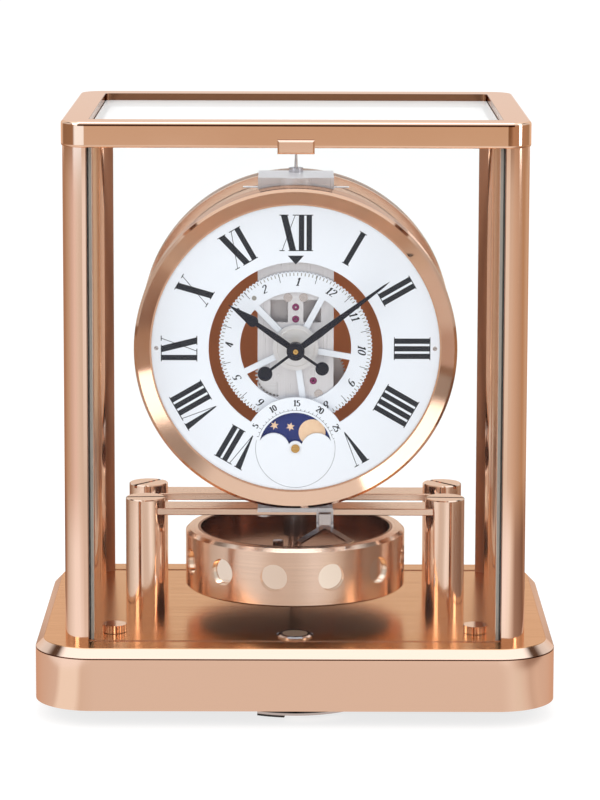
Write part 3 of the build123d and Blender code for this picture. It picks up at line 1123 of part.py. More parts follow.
# Going train between the plates
def make_going_train():
    barrel_module = module_of(BARREL_X, BARREL_Z, CENTRE_PINION_TEETH, BARREL_TEETH)
    third_module = module_of(THIRD_WHEEL_X, THIRD_WHEEL_Z, CENTRE_WHEEL_TEETH, THIRD_PINION_TEETH)
    near = module_of(MINUTE_WHEEL_X, MINUTE_WHEEL_Z, CANNON_TEETH, MINUTE_WHEEL_TEETH)
    rear_end = REAR_PLATE_FACE + PLATE_THICKNESS

    arbor = lying(ARBOR_RADIUS, -ARBOR_NOSE, rear_end)
    arbor += toothed(CANNON_TEETH, near, CANNON_FACE, CANNON_FACE + CANNON_LENGTH)
    arbor += toothed(
        CENTRE_PINION_TEETH, barrel_module, CENTRE_PINION_FACE, CENTRE_PINION_FACE + CENTRE_PINION_LENGTH)
    wheel_back = CENTRE_WHEEL_FACE + WHEEL_THICKNESS
    centre = toothed(CENTRE_WHEEL_TEETH, third_module, CENTRE_WHEEL_FACE, wheel_back)
    centre -= spoked(CENTRE_WHEEL_TEETH * third_module / 2, WHEEL_SPOKES, CENTRE_WHEEL_FACE, wheel_back)
    keep("centre_arbor", arbor + centre)

    barrel_phase = mesh_phase(0, CENTRE_PINION_TEETH, BARREL_TEETH, BARREL_X, BARREL_Z)
    gear_back = BARREL_FACE + BARREL_GEAR_THICKNESS
    barrel_z = DRUM_CENTRE + BARREL_Z
    barrel = toothed(BARREL_TEETH, barrel_module, BARREL_FACE, gear_back, BARREL_X, BARREL_Z, barrel_phase)
    barrel += lying(BARREL_DRUM_RADIUS, gear_back, BARREL_FACE + BARREL_DEPTH, BARREL_X, barrel_z)
    barrel += lying(BARREL_ARBOR_RADIUS, FRONT_PLATE_FACE, rear_end, BARREL_X, barrel_z)
    keep("barrel", barrel)

    third_phase = mesh_phase(0, CENTRE_WHEEL_TEETH, THIRD_PINION_TEETH, THIRD_WHEEL_X, THIRD_WHEEL_Z)
    third_z = DRUM_CENTRE + THIRD_WHEEL_Z
    third = toothed(
        THIRD_PINION_TEETH, third_module, THIRD_PINION_FACE, THIRD_PINION_FACE + THIRD_PINION_LENGTH,
        THIRD_WHEEL_X, THIRD_WHEEL_Z, third_phase)
    third_back = THIRD_WHEEL_FACE + WHEEL_THICKNESS
    third += lying(THIRD_WHEEL_RADIUS, THIRD_WHEEL_FACE, third_back, THIRD_WHEEL_X, third_z)
    windows = spoked(THIRD_WHEEL_RADIUS, WHEEL_SPOKES, THIRD_WHEEL_FACE, third_back, THIRD_WHEEL_X, THIRD_WHEEL_Z)
    blank = lying(THIRD_WHEEL_RADIUS, THIRD_WHEEL_FACE - SEAT_GAP, third_back + SEAT_GAP, THIRD_WHEEL_X, third_z)
    third -= windows & blank
    third += lying(PIVOT_RADIUS, FRONT_PLATE_FACE, rear_end, THIRD_WHEEL_X, third_z)
    keep("third_wheel", third)


# Month wheel, centre cover and moon disc
def make_month_wheel():
    points = []
    for tooth in range(2 * MONTH_TEETH):
        angle = math.pi * tooth / MONTH_TEETH
        radius = MONTH_RADIUS - MONTH_TOOTH_DEPTH * (tooth % 2)
        points.append((radius * math.cos(angle), radius * math.sin(angle)))
    wheel = make_face(Polyline(*points, close=True)) - Circle(MONTH_BAND_BORE)
    for spoke in range(MONTH_SPOKES):
        bar = Pos(MONTH_BAND_BORE / 2, 0) * Rectangle(MONTH_BAND_BORE + MONTH_TOOTH_DEPTH, MONTH_SPOKE_WIDTH)
        wheel += Rot(0, 0, MONTH_SPOKE_ANGLE + spoke * 360 / MONTH_SPOKES) * bar
    wheel += Circle(MONTH_HUB_RADIUS)
    wheel -= Circle(CENTRE_TUBE_RADIUS + SHAFT_GAP)
    keep("month_wheel", slab(wheel, MONTH_FACE, MONTH_FACE + MONTH_THICKNESS))

    back = MONTH_FACE - FACE_GAP
    face = back - COVER_DISC_THICKNESS
    rib = face - COVER_RIB_HEIGHT
    cover = turned([
        (CENTRE_TUBE_BORE, back), (COVER_DISC_RADIUS, back), (COVER_DISC_RADIUS, face + COVER_RIB_HEIGHT),
        (COVER_DISC_RIB + COVER_RIB_RUN, face), (COVER_DISC_RIB, rib), (COVER_DISC_RIB - COVER_RIB_RUN, face),
        (CENTRE_TUBE_BORE, face)])
    keep("centre_cover", cover)


def make_moon():
    centre = DRUM_CENTRE - MOON_DROP
    back = MOON_DISC_FACE + MOON_DISC_THICKNESS
    disc = lying(MOON_DISC_RADIUS, MOON_DISC_FACE, back, 0, centre)
    disc -= lying(MOON_ARBOR_RADIUS + SEAT_GAP, MOON_DISC_FACE - OVERRUN, back + OVERRUN, 0, centre)
    keep("moon_disc", disc)
    cap_back = DIAL_FACE - SEAT_GAP
    arbor = lying(MOON_ARBOR_RADIUS, cap_back, BRIDGE_FACE + BRIDGE_THICKNESS, 0, centre)
    arbor += lying(MOON_CAP_RADIUS, cap_back - MOON_CAP_HEIGHT, cap_back, 0, centre)
    keep("moon_arbor", arbor)


# Hands, drawn pointing to twelve and then turned to the time shown
def hand_outline(length, width, tail, ball, leaf_at=0, leaf_radius=0):
    """A slim hand with a pointed end, a round hub and a ball on its tail."""
    blade = Polyline(
        (-HAND_NECK, 0), (-width / 2, length / 4), (-HAND_TIP, length - width), (0, length),
        (HAND_TIP, length - width), (width / 2, length / 4), (HAND_NECK, 0), close=True)
    outline = make_face(blade) + Circle(HUB_RADIUS)
    outline += Pos(0, -tail / 2) * Rectangle(HAND_NECK, tail) + Pos(0, -tail) * Circle(ball)
    if leaf_radius:
        outline += Pos(0, leaf_at) * Circle(leaf_radius)
        outline += make_face(Polyline(
            (-leaf_radius, leaf_at), (0, length), (leaf_radius, leaf_at), close=True))
    return outline


def make_hands():
    hour = hand_outline(HOUR_HAND_LENGTH, HOUR_HAND_WIDTH, HOUR_TAIL, HOUR_BALL, HOUR_LEAF_AT, HOUR_LEAF_RADIUS)
    hour -= Circle(HOUR_PIPE_RADIUS + SEAT_GAP)
    keep("hour_hand", slab(Rot(0, 0, -HOUR_ANGLE) * hour, HOUR_HAND_FACE, HOUR_HAND_FACE + HAND_THICKNESS))
    minute = hand_outline(MINUTE_HAND_LENGTH, MINUTE_HAND_WIDTH, MINUTE_TAIL, MINUTE_BALL)
    minute_back = MINUTE_HAND_FACE + HAND_THICKNESS
    hand = slab(Rot(0, 0, -MINUTE_ANGLE) * minute, MINUTE_HAND_FACE, minute_back)
    hub_front = DRUM_FRONT - HUB_FRONT
    hand += lying(HUB_RADIUS, hub_front, minute_back)
    hand -= lying(ARBOR_RADIUS + SEAT_GAP, hub_front - OVERRUN, minute_back + OVERRUN)
    keep("minute_hand", hand)


# Balance
def make_balance():
    corner = BALANCE_CHAMFER
    ring = turned_upright([
        (BALANCE_BORE, BALANCE_FLOOR), (BALANCE_RADIUS - corner / 2, BALANCE_FLOOR),
        (BALANCE_RADIUS, BALANCE_FLOOR + corner / 2), (BALANCE_RADIUS, BALANCE_TOP - corner),
        (BALANCE_RADIUS - corner, BALANCE_TOP), (BALANCE_BORE, BALANCE_TOP)])
    middle = (BALANCE_FLOOR + BALANCE_TOP) / 2
    floor_radius = BALANCE_RADIUS - BALANCE_RECESS_DEPTH
    for recess in range(BALANCE_RECESSES):
        angle = BALANCE_RECESS_ANGLE + recess * 360 / BALANCE_RECESSES
        cutter = Rot(90, 0, 0) * Cylinder(BALANCE_RECESS_RADIUS, 2 * OVERRUN)
        ring -= Rot(0, 0, angle) * Pos(0, -floor_radius - OVERRUN, middle) * cutter
    keep("balance_ring", ring)
    web = upright(BALANCE_BORE - SEAT_GAP, WEB_TOP - WEB_THICKNESS, WEB_TOP)
    boss_floor = WEB_TOP - WEB_THICKNESS - WEB_BOSS_LENGTH
    web += upright(WEB_BOSS_RADIUS, boss_floor, WEB_TOP - WEB_THICKNESS)
    web -= upright(WEB_BOSS_BORE, boss_floor - OVERRUN, boss_floor + WEB_BOSS_BORE_DEPTH)
    keep("balance_web", web)
    neck_top = WEB_TOP + HUB_NECK_LENGTH
    hub = upright(HUB_NECK_RADIUS, WEB_TOP, neck_top) + upright(HUB_BODY_RADIUS, neck_top, HUB_TOP)
    hub += upright(HUB_FLANGE_RADIUS, HUB_TOP - HUB_FLANGE_HEIGHT, HUB_TOP)
    keep("balance_hub", hub)
    knob = upright(REGULATOR_RADIUS, WEB_TOP, WEB_TOP + REGULATOR_HEIGHT, REGULATOR_X, REGULATOR_Y)
    keep("regulator_knob", chamfer(knob.edges().sort_by(Axis.Z)[-1], HAND_TIP))
    keep("torsion_wire", upright(WIRE_RADIUS, HUB_TOP, BLOCK_TOP + COLLAR_HEIGHT - SEAT_GAP))


def make_balance_stop():
    """A forked lever on a pin across the movement base; pressed down, it holds the ring."""
    half = STOP_WIDTH / 2
    slope = math.radians(STOP_SLOPE_ANGLE)
    apex_y = STOP_PIVOT_Y - STOP_TAB_THICKNESS
    apex_z = BALANCE_TOP + STOP_GAP + (STOP_REACH + STOP_ARM_WIDTH / 2) * math.sin(slope)
    tab = block(STOP_X - half, STOP_X + half, apex_y, STOP_PIVOT_Y,
                STOP_PIVOT_Z - STOP_TAB_DROP, STOP_PIVOT_Z + STOP_TAB_HEIGHT)
    fork = None
    for side in (-1, 1):
        length = math.hypot(STOP_SPREAD, STOP_REACH)
        angle = math.degrees(math.atan2(-STOP_REACH, side * STOP_SPREAD))
        arm = Rot(0, 0, angle) * Pos(length / 2, 0) * Rectangle(length, STOP_ARM_WIDTH)
        fork = arm if fork is None else fork + arm
    arms = extrude(fork, STOP_ARM_THICKNESS)
    stop = tab + Pos(STOP_X, apex_y, apex_z) * Rot(STOP_SLOPE_ANGLE, 0, 0) * arms
    stop += Pos(STOP_X, STOP_PIVOT_Y, STOP_PIVOT_Z) * Rot(0, 90, 0) * Cylinder(STOP_EAR_RADIUS, STOP_WIDTH)
    bore = Cylinder(STOP_PIN_RADIUS + SHAFT_GAP, STOP_WIDTH + OVERRUN)
    stop -= Pos(STOP_X, STOP_PIVOT_Y, STOP_PIVOT_Z) * Rot(0, 90, 0) * bore
    keep("balance_stop", stop)


make_base_shell()
make_base_cover()
make_screws()
make_rear_foot()
make_adjusters()
make_spirit_level()
make_lock_lever()
make_lock_cam()
make_lift_post()
make_posts()
make_top_frame()
make_panes()
make_door_knob()
make_pillars()
make_bars()
make_movement_base()
make_bezel()
make_drum_shell()
make_drum_well()
make_rear_ring()
make_bellows()
make_dial()
make_calendar_bridge()
make_plates()
make_movement_pillars()
make_suspension()
make_motion_work()
make_going_train()
make_month_wheel()
make_moon()
make_hands()
make_balance()
make_balance_stop()

os.makedirs("parts", exist_ok=True)
for name, shape in NODES.items():
    export_step(shape, f"parts/{name}.step")
    print(name, "solids", len(shape.solids()), "volume", round(shape.volume, 1))
print("nodes", len(NODES))
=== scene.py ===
# %% [markdown]
# A moon phase desk clock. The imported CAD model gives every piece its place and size,
# and this lesson dresses it: a studio and a camera first, then a way to write materials
# as sums, then the metals, the glass, the printed dial and the smallest screws.

# %% Load the frame
import math

import bmesh
import bpy
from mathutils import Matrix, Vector


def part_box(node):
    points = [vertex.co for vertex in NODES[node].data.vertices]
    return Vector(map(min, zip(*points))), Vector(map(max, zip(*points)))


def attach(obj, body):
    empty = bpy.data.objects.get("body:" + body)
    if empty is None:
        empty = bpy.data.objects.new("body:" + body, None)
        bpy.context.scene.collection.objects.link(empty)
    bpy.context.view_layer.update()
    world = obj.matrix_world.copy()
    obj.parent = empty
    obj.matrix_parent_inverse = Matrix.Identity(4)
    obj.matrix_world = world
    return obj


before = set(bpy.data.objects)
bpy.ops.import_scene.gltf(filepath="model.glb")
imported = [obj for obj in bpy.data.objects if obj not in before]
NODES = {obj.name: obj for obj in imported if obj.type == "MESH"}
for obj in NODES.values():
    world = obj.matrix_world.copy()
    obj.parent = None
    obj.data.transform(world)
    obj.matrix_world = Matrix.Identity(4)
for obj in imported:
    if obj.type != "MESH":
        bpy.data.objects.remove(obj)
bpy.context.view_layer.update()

# %% [markdown]
# The photograph is a long-lens view from a little above, so the sides hardly lean in.
# The camera's place, tilt and focal length were fitted to the edges of the plinth, the
# posts, the dial and the top frame. The small shift is what the framing needs.

# %% Camera
TILT_DOWN = 0.1449
ROLL = -0.0026

lens = bpy.data.cameras.new("camera")
lens.lens = 152.4
lens.shift_x = 0.0023
lens.shift_y = -0.138
lens.clip_start = 0.05
camera = bpy.data.objects.new("camera", lens)
camera.location = (0.0004, -1.1937, 0.3163)
camera.rotation_euler = (math.pi / 2 - TILT_DOWN, ROLL, 0)
bpy.context.collection.objects.link(camera)
bpy.context.scene.camera = camera
bpy.context.scene.view_settings.view_transform = "Standard"

# %% [markdown]
# Shader maths reads best as sums. Expr wraps one output socket, and each operator adds
# the Math node that does it, so a mask can be written as 1 - noise * 0.3. Finish holds
# one material, and its method add makes any other node from its type, its settings,
# which are set first, and the values or links of its inputs.

# %% Expressions and finishes
class Expr:
    """One output socket that Python's operators can combine."""

    def __init__(self, finish, socket):
        self.finish = finish
        self.socket = socket

    def math(self, operation, *inputs):
        return self.finish.math_of(operation, *inputs)

    def __add__(self, other):
        return self.math("ADD", self, other)

    def __sub__(self, other):
        return self.math("SUBTRACT", self, other)

    def __rsub__(self, other):
        return self.math("SUBTRACT", other, self)

    def __mul__(self, other):
        return self.math("MULTIPLY", self, other)

    def __truediv__(self, other):
        return self.math("DIVIDE", self, other)

    def __pow__(self, other):
        return self.math("POWER", self, other)

    def __abs__(self):
        return self.math("ABSOLUTE", self)

    __radd__ = __add__
    __rmul__ = __mul__

    def above(self, edge):
        return self.math("GREATER_THAN", self, edge)

    def clamped(self):
        return self.finish.add("Clamp", {}, {0: self})


class Finish:
    """One material, built on a Principled surface."""

    def __init__(self, name, color, **fixed):
        self.material = bpy.data.materials.new(name)
        self.material.use_nodes = True
        self.tree = self.material.node_tree
        self.surface = self.tree.nodes["Principled BSDF"]
        self.surface.inputs["Base Color"].default_value = (*color, 1)
        for key, value in fixed.items():
            self.surface.inputs[key.replace("_", " ")].default_value = value

    def plug(self, socket, value):
        if isinstance(value, Expr):
            self.tree.links.new(value.socket, socket)
        else:
            socket.default_value = value

    def add(self, kind, settings, inputs, output=0):
        node = self.tree.nodes.new("ShaderNode" + kind)
        for key, value in settings.items():
            if key == "stops":
                ramp = node.color_ramp.elements
                while len(ramp) < len(value):
                    ramp.new(0.5)
                for stop, (place, shade) in zip(ramp, value):
                    stop.position = place
                    stop.color = shade
            else:
                setattr(node, key, value)
        for key, value in inputs.items():
            self.plug(node.inputs[key], value)
        return Expr(self, node.outputs[output])

    def math_of(self, operation, *inputs):
        return self.add("Math", {"operation": operation}, dict(enumerate(inputs)))

    def split(self, vector):
        return [self.add("SeparateXYZ", {}, {0: vector}, axis) for axis in range(3)]

    def place(self):
        """The point on the object in metres, split into x, y and z."""
        return self.split(self.add("TexCoord", {}, {}, "Object"))

    def vector(self, x, y, z):
        return self.add("CombineXYZ", {}, {0: x, 1: y, 2: z})

    def noise(self, vector, scale, detail=2.0):
        return self.add("TexNoise", {}, {"Vector": vector, "Scale": scale, "Detail": detail})

    def speckle(self, scale, detail=2.0):
        """Noise of the same grain in every direction."""
        return self.noise(self.vector(*self.place()), scale, detail)

    def mix(self, factor, first, second):
        """Between two colours, each a link or red, green and blue."""
        settings = {"data_type": "RGBA"}
        first, second = [(*shade[:3], 1) if isinstance(shade, tuple) else shade for shade in (first, second)]
        return self.add("Mix", settings, {0: factor, 6: first, 7: second}, 2)

    def set(self, name, value):
        self.plug(self.surface.inputs[name], value)

    def bump(self, height, strength, distance):
        inputs = {"Height": height, "Strength": strength, "Distance": distance}
        self.set("Normal", self.add("Bump", {}, inputs))


def linear(red, green, blue):
    """A colour written as it looks on screen, 0 to 255, in the renderer's light."""
    shades = []
    for level in (red, green, blue):
        level = level / 255
        shades.append(level / 12.92 if level < 0.04045 else ((level + 0.055) / 1.055) ** 2.4)
    return tuple(shades)


def dress(finish, *names):
    """Give CAD nodes a finish, in every slot that they have."""
    for name in names:
        for slot in NODES[name].material_slots:
            slot.material = finish.material


# %% [markdown]
# A product photograph like this one has a white sweep and big soft boxes. The floor is
# nearly white, and a world of plain white light carries the colours as they are written.
# Polished metal needs something to reflect, and a studio is far from plain: bright boxes
# stand at the front corners, brown flags beside them, and dark cloth hides the camera.
# Only mirror-like rays see that studio. The camera looks down, so upright faces send its
# rays on to the floor, and rings of colour lie there round the clock: the nearest one
# serves the plinth, and the farthest the top frame. Bevels and tops send the rays up, to
# the walls and the ceiling of the world.

# %% Floor, world and lamps
FLOOR_REACH = 12.0
FLOOR_WHITE = 0.96
FLOOR_GLOW = 0.78
FLOOR_SHADED = 0.28

floor_mesh = bpy.data.meshes.new("floor")
corners = [(x * FLOOR_REACH, y * FLOOR_REACH, 0) for x, y in [(-1, -1), (1, -1), (1, 1), (-1, 1)]]
floor_mesh.from_pydata(corners, [], [(0, 1, 2, 3)])
floor = bpy.data.objects.new("floor", floor_mesh)
bpy.context.collection.objects.link(floor)

# What upright faces mirror: degrees from straight in front, to the left below zero, and
# the colour there.
PLINTH_SEES = [
    (-180, (0.62, 0.46, 0.36)), (-90, (0.70, 0.52, 0.42)), (-68, (0.72, 0.56, 0.47)),
    (-58, (0.93, 0.82, 0.72)), (-30, (0.93, 0.82, 0.72)), (-20, (0.73, 0.58, 0.48)),
    (0, (0.76, 0.62, 0.53)), (9, (0.76, 0.62, 0.53)), (28, (0.83, 0.71, 0.62)),
    (39, (0.81, 0.70, 0.60)), (50, (0.78, 0.63, 0.53)), (62, (0.66, 0.49, 0.39)),
    (76, (0.73, 0.55, 0.44)), (100, (0.70, 0.52, 0.42)), (180, (0.62, 0.46, 0.36))]
BALANCE_SEES = [
    (-180, (0.85, 0.74, 0.66)), (-152, (0.80, 0.70, 0.62)), (-138, (0.20, 0.11, 0.08)),
    (-112, (0.42, 0.28, 0.20)), (-92, (0.68, 0.57, 0.50)), (-55, (1.00, 0.90, 0.85)),
    (-38, (1.00, 0.90, 0.85)), (-20, (0.74, 0.60, 0.52)), (0, (0.74, 0.62, 0.55)),
    (10, (0.90, 0.80, 0.74)), (18, (1.06, 0.96, 0.93)), (32, (0.98, 0.88, 0.80)),
    (44, (0.70, 0.55, 0.46)), (56, (0.36, 0.23, 0.17)), (100, (0.22, 0.12, 0.08)),
    (116, (0.46, 0.30, 0.21)), (135, (0.29, 0.20, 0.17)), (152, (0.80, 0.70, 0.62)),
    (180, (0.85, 0.74, 0.66))]
POSTS_SEE = [
    (-180, (0.62, 0.50, 0.40)), (-124, (0.42, 0.26, 0.17)), (-92, (0.56, 0.39, 0.27)),
    (-68, (0.68, 0.51, 0.43)), (-50, (0.82, 0.63, 0.56)), (-32, (0.78, 0.65, 0.56)),
    (-13, (0.66, 0.55, 0.46)), (-6, (0.96, 0.88, 0.84)), (0, (0.90, 0.78, 0.70)),
    (6, (0.86, 0.76, 0.68)), (14, (0.72, 0.58, 0.47)), (30, (0.68, 0.50, 0.38)),
    (48, (0.62, 0.43, 0.31)), (68, (0.52, 0.35, 0.24)), (90, (0.50, 0.29, 0.16)),
    (118, (0.62, 0.46, 0.33)), (180, (0.62, 0.50, 0.40))]
FRAME_SEES = [
    (-180, (0.95, 0.85, 0.78)), (-138, (0.90, 0.80, 0.72)), (-118, (0.30, 0.18, 0.11)),
    (-58, (0.33, 0.19, 0.11)), (-48, (1.08, 1.18, 1.28)), (-15, (1.08, 1.18, 1.28)),
    (-9, (0.66, 0.49, 0.37)), (0, (0.62, 0.45, 0.33)), (9, (0.64, 0.46, 0.32)),
    (13, (0.22, 0.11, 0.05)), (18, (0.24, 0.12, 0.06)), (30, (0.48, 0.28, 0.17)),
    (90, (0.44, 0.26, 0.16)), (118, (0.40, 0.27, 0.17)), (138, (0.90, 0.80, 0.72)),
    (180, (0.95, 0.85, 0.78))]

# Half the straight middle of the plinth's front and of its side. The plinth's bearings
# are taken from there, so that only its rounded corners run through the colours.
PLINTH_CORE = (0.0695, 0.0470)

# How far from the middle each other ring of floor begins and is full, in metres: for the
# balance and the pillars, for the posts and the dial's rim, and for the top frame.
RINGS = [(0.178, 0.186, BALANCE_SEES), (0.36, 0.48, POSTS_SEE), (1.85, 1.95, FRAME_SEES)]


def grey(level, warmth=0.0):
    """A shade of the studio, a little browner where it is dark."""
    return (level, level * (1 - warmth), level * (1 - 1.6 * warmth), 1)


def bearing(finish, x, front):
    """The compass direction of a ray or a point, 0 to 1 and straight in front at a half."""
    return finish.math_of("ARCTAN2", x, front) / math.tau + 0.5


def by_bearing(finish, around, colors):
    stops = [(degrees / 360 + 0.5, (*color, 1)) for degrees, color in colors]
    return finish.add("ValToRGB", {"stops": stops}, {0: around})


def past(finish, position, core):
    """How far a position lies outside the straight middle of a plinth face."""
    inner = finish.math_of("MINIMUM", finish.math_of("MAXIMUM", position, -core), core)
    return position - inner


def distance(x, y):
    """From the middle, in the plane of these two coordinates."""
    return (x * x + y * y) ** 0.5


paper = Finish("paper", (FLOOR_WHITE,) * 3, Roughness=0.9)
paper.set("Specular IOR Level", 0.0)
paper.set("Emission Strength", 1.0)
x, y, z = paper.place()
seen = paper.add("LightPath", {}, {}, "Is Camera Ray")
mirrored = paper.add("LightPath", {}, {}, "Is Glossy Ray")
around = bearing(paper, x, y * -1.0)
out = distance(x, y)
corner_bearing = bearing(paper, past(paper, x, PLINTH_CORE[0]), past(paper, y, PLINTH_CORE[1]) * -1.0)
mirror = by_bearing(paper, corner_bearing, PLINTH_SEES)
for start, full, colors in RINGS:
    share = ((out - start) / (full - start)).clamped()
    mirror = paper.mix(share, mirror, by_bearing(paper, around, colors))

# The camera sees paper that mostly glows, so the clock's shadow on it stays pale.
glow = paper.mix(seen, grey(0.0), grey(FLOOR_GLOW))
white = paper.mix(seen, grey(FLOOR_WHITE), grey(FLOOR_SHADED))
paper.set("Emission Color", paper.mix(mirrored, glow, mirror))
paper.set("Base Color", paper.mix(mirrored, white, grey(0.0)))
floor.data.materials.append(paper.material)

# The walls by degrees away from the front, on either side, and the ceiling by a ray's
# height, 0 level and 1 straight up. The flags hang beside the clock.
WALLS = [
    (0, 0.62, 0.08), (40, 0.60, 0.08), (62, 0.45, 0.12), (84, 0.80, 0.04), (112, 0.62, 0.08),
    (140, 0.88, 0.0), (180, 0.93, 0.0)]
CEILING = [(0.0, grey(0.0)), (0.50, grey(0.72, 0.03)), (0.66, grey(1.2)), (1.0, grey(1.3))]
CEILING_FROM = 0.52
FLAG_TURN = 0.62
FLAG_TOP = 0.72
FLAG_BROWN = (0.10, 0.055, 0.035)

world = bpy.data.worlds.new("studio")
bpy.context.scene.world = world
world.use_nodes = True
# The world has no Principled surface, so only its tree goes into a Finish.
sky = Finish.__new__(Finish)
sky.tree = world.node_tree
background = world.node_tree.nodes["Background"]
east, north, height = sky.split(sky.add("TexCoord", {}, {}, "Generated"))
turn = abs(sky.math_of("ARCTAN2", east, north * -1.0)) / math.pi
wall_stops = [(degrees / 180, grey(level, warmth)) for degrees, level, warmth in WALLS]
walls = sky.add("ValToRGB", {"stops": wall_stops}, {0: turn})
overhead = sky.add("ValToRGB", {"stops": CEILING}, {0: height})
raised = ((height - CEILING_FROM) * 8.0).clamped()
flags = (1.5 - abs(turn - FLAG_TURN) * 10.0).clamped() * (1 - ((height - FLAG_TOP) * 10.0).clamped())
studio = sky.mix(raised, walls, sky.mix(flags, overhead, FLAG_BROWN))
glossy = sky.add("LightPath", {}, {}, "Is Glossy Ray")
sky.plug(background.inputs["Color"], sky.mix(glossy, grey(1.0), studio))
background.inputs["Strength"].default_value = 1.0


def soft_box(name, place, aim, width, height, power):
    """A rectangular lamp that looks at a point of the clock."""
    light = bpy.data.lights.new(name, "AREA")
    light.shape = "RECTANGLE"
    light.size = width
    light.size_y = height
    light.energy = power
    lamp = bpy.data.objects.new(name, light)
    lamp.location = place
    lamp.rotation_euler = (Vector(aim) - Vector(place)).to_track_quat("-Z", "Y").to_euler()
    bpy.context.collection.objects.link(lamp)


soft_box("left_box", (-0.9, -0.8, 0.7), (0, 0, 0.1), 0.5, 0.9, 4.0)
soft_box("right_box", (1.0, -0.5, 0.5), (0, 0, 0.1), 0.3, 0.9, 2.5)
soft_box("top_box", (0.0, 0.2, 1.2), (0, 0, 0.1), 0.7, 0.5, 3.0)

# %% [markdown]
# Rose gilt is one colour, but how it was rubbed changes it: the plinth's top is brushed
# from side to side, turned pieces are brushed round, and posts and frames are polished.
# Fine brushing is noise drawn out very long in one direction. It changes the roughness
# and lifts the surface by a hair, so highlights stretch across the lines.

# %% Rose gilt, polished and brushed
ROSE = linear(246, 220, 203)
FRAME_ROSE = linear(244, 213, 190)
LINES_ACROSS = 3200.0
LINES_ALONG = 60.0
BRUSH_STRENGTH = 0.25
BRUSH_DEPTH = 0.00002

dial_low, dial_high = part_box("dial")
DRUM_HEIGHT = (dial_low[2] + dial_high[2]) / 2
DIAL_FACE = dial_low[1]
print("drum centre", round(DRUM_HEIGHT, 5), "dial face", round(DIAL_FACE, 5))


def within(value, half):
    """1 where a value lies nearer to zero than this, and 0 elsewhere."""
    return (half - abs(value)).above(0.0)


def gilt(name, color=ROSE, roughness=0.12, lines=None):
    """A metal finish. Lines names the way it is brushed: along x, y or z, or round an axis."""
    finish = Finish(name, color, Metallic=1.0, Roughness=roughness, Specular_Tint=(*color, 1))
    x, y, z = finish.place()
    cloud = finish.noise(finish.vector(x, y, z), 35.0, 3.0)
    if lines is None:
        finish.set("Roughness", cloud * 0.06 + (roughness - 0.03))
        return finish
    if lines == "round z":
        grain = finish.vector(distance(x, y) * LINES_ACROSS, z * LINES_ACROSS, 0.0)
    elif lines == "round y":
        grain = finish.vector(distance(x, z - DRUM_HEIGHT) * LINES_ACROSS, y * LINES_ACROSS, 0.0)
    else:
        scales = [LINES_ALONG if axis == lines else LINES_ACROSS for axis in "xyz"]
        grain = finish.vector(x * scales[0], y * scales[1], z * scales[2])
    scratch = finish.noise(grain, 1.0, 3.0)
    finish.set("Roughness", scratch * 0.22 + cloud * 0.05 + (roughness - 0.12))
    finish.tone = finish.mix(scratch, tuple(0.80 * shade for shade in color), color)
    finish.set("Base Color", finish.tone)
    finish.bump(scratch, BRUSH_STRENGTH, BRUSH_DEPTH)
    return finish


polished = gilt("polished_rose_gilt", roughness=0.10)

# The plinth has a brushed top plate and polished sides, and a thin dark brown line below the bevel.
PLATE_LEVEL = 0.0271
BEVEL_LINE_LEVEL = 0.0241
BEVEL_LINE_HALF = 0.00022
plinth = gilt("plinth_rose_gilt", roughness=0.14)
x, y, z = plinth.place()
top = z.above(PLATE_LEVEL)
bevel_line = within(z - BEVEL_LINE_LEVEL, BEVEL_LINE_HALF)
rub = plinth.noise(plinth.vector(x * 14.0, y * 1300.0, 0.0), 1.0, 4.0)
cloud = plinth.noise(plinth.vector(x, y, z), 30.0, 2.0)
plinth.set("Roughness", top * (rub * 0.16 + 0.06) + cloud * 0.05 + 0.07)
brushed_top = plinth.mix(rub, linear(246, 200, 154), linear(198, 142, 98))
tone = plinth.mix(top, ROSE, brushed_top)
plinth.set("Base Color", plinth.mix(bevel_line, tone, linear(96, 62, 44)))
plinth.bump(rub * top, 0.35, BRUSH_DEPTH)

# Painted shade darkens the top frame's inner walls, and a painted dark reflection runs as a line below its
# front upper edge.
FRAME_INSIDE = (0.0704, 0.0504)
FRAME_LINE = 0.2066
LINE_HALF = 0.0003
LINE_REACH = 0.0735
FRAME_FRONT = 0.05
frame_gilt = gilt("frame_rose_gilt", color=FRAME_ROSE, roughness=0.045)
x, y, z = frame_gilt.place()
# Painted shade: the frame's inner walls are coloured dark brown.
shaded_wall = within(x, FRAME_INSIDE[0]) * within(y, FRAME_INSIDE[1])
# Painted dark reflection: a thin brown line below the front upper edge, where the fillet mirrors a dark part
# of the studio.
edge = within(z - FRAME_LINE, LINE_HALF) * (y * -1.0).above(FRAME_FRONT) * within(x, LINE_REACH)
tone = frame_gilt.mix(edge, FRAME_ROSE, linear(92, 58, 38))
frame_gilt.set("Base Color", frame_gilt.mix(shaded_wall, tone, linear(120, 84, 62)))

# The posts are dull on the faces that look into the cabinet, and painted shade turns those faces brown.
POST_INSIDE = 0.0710
POST_BACK = -0.0530
post_gilt = gilt("post_rose_gilt", roughness=0.09)
x, y, z = post_gilt.place()
shaded_inside = within(x, POST_INSIDE) * y.above(POST_BACK)
smear = post_gilt.noise(post_gilt.vector(x * 600.0, y * 600.0, z * 30.0), 1.0, 3.0)
post_gilt.set("Roughness", shaded_inside * (smear * 0.1 + 0.2) + 0.09)
# Painted shade: the inner faces are coloured brown.
post_gilt.set("Base Color", post_gilt.mix(shaded_inside, ROSE, linear(176, 130, 104)))

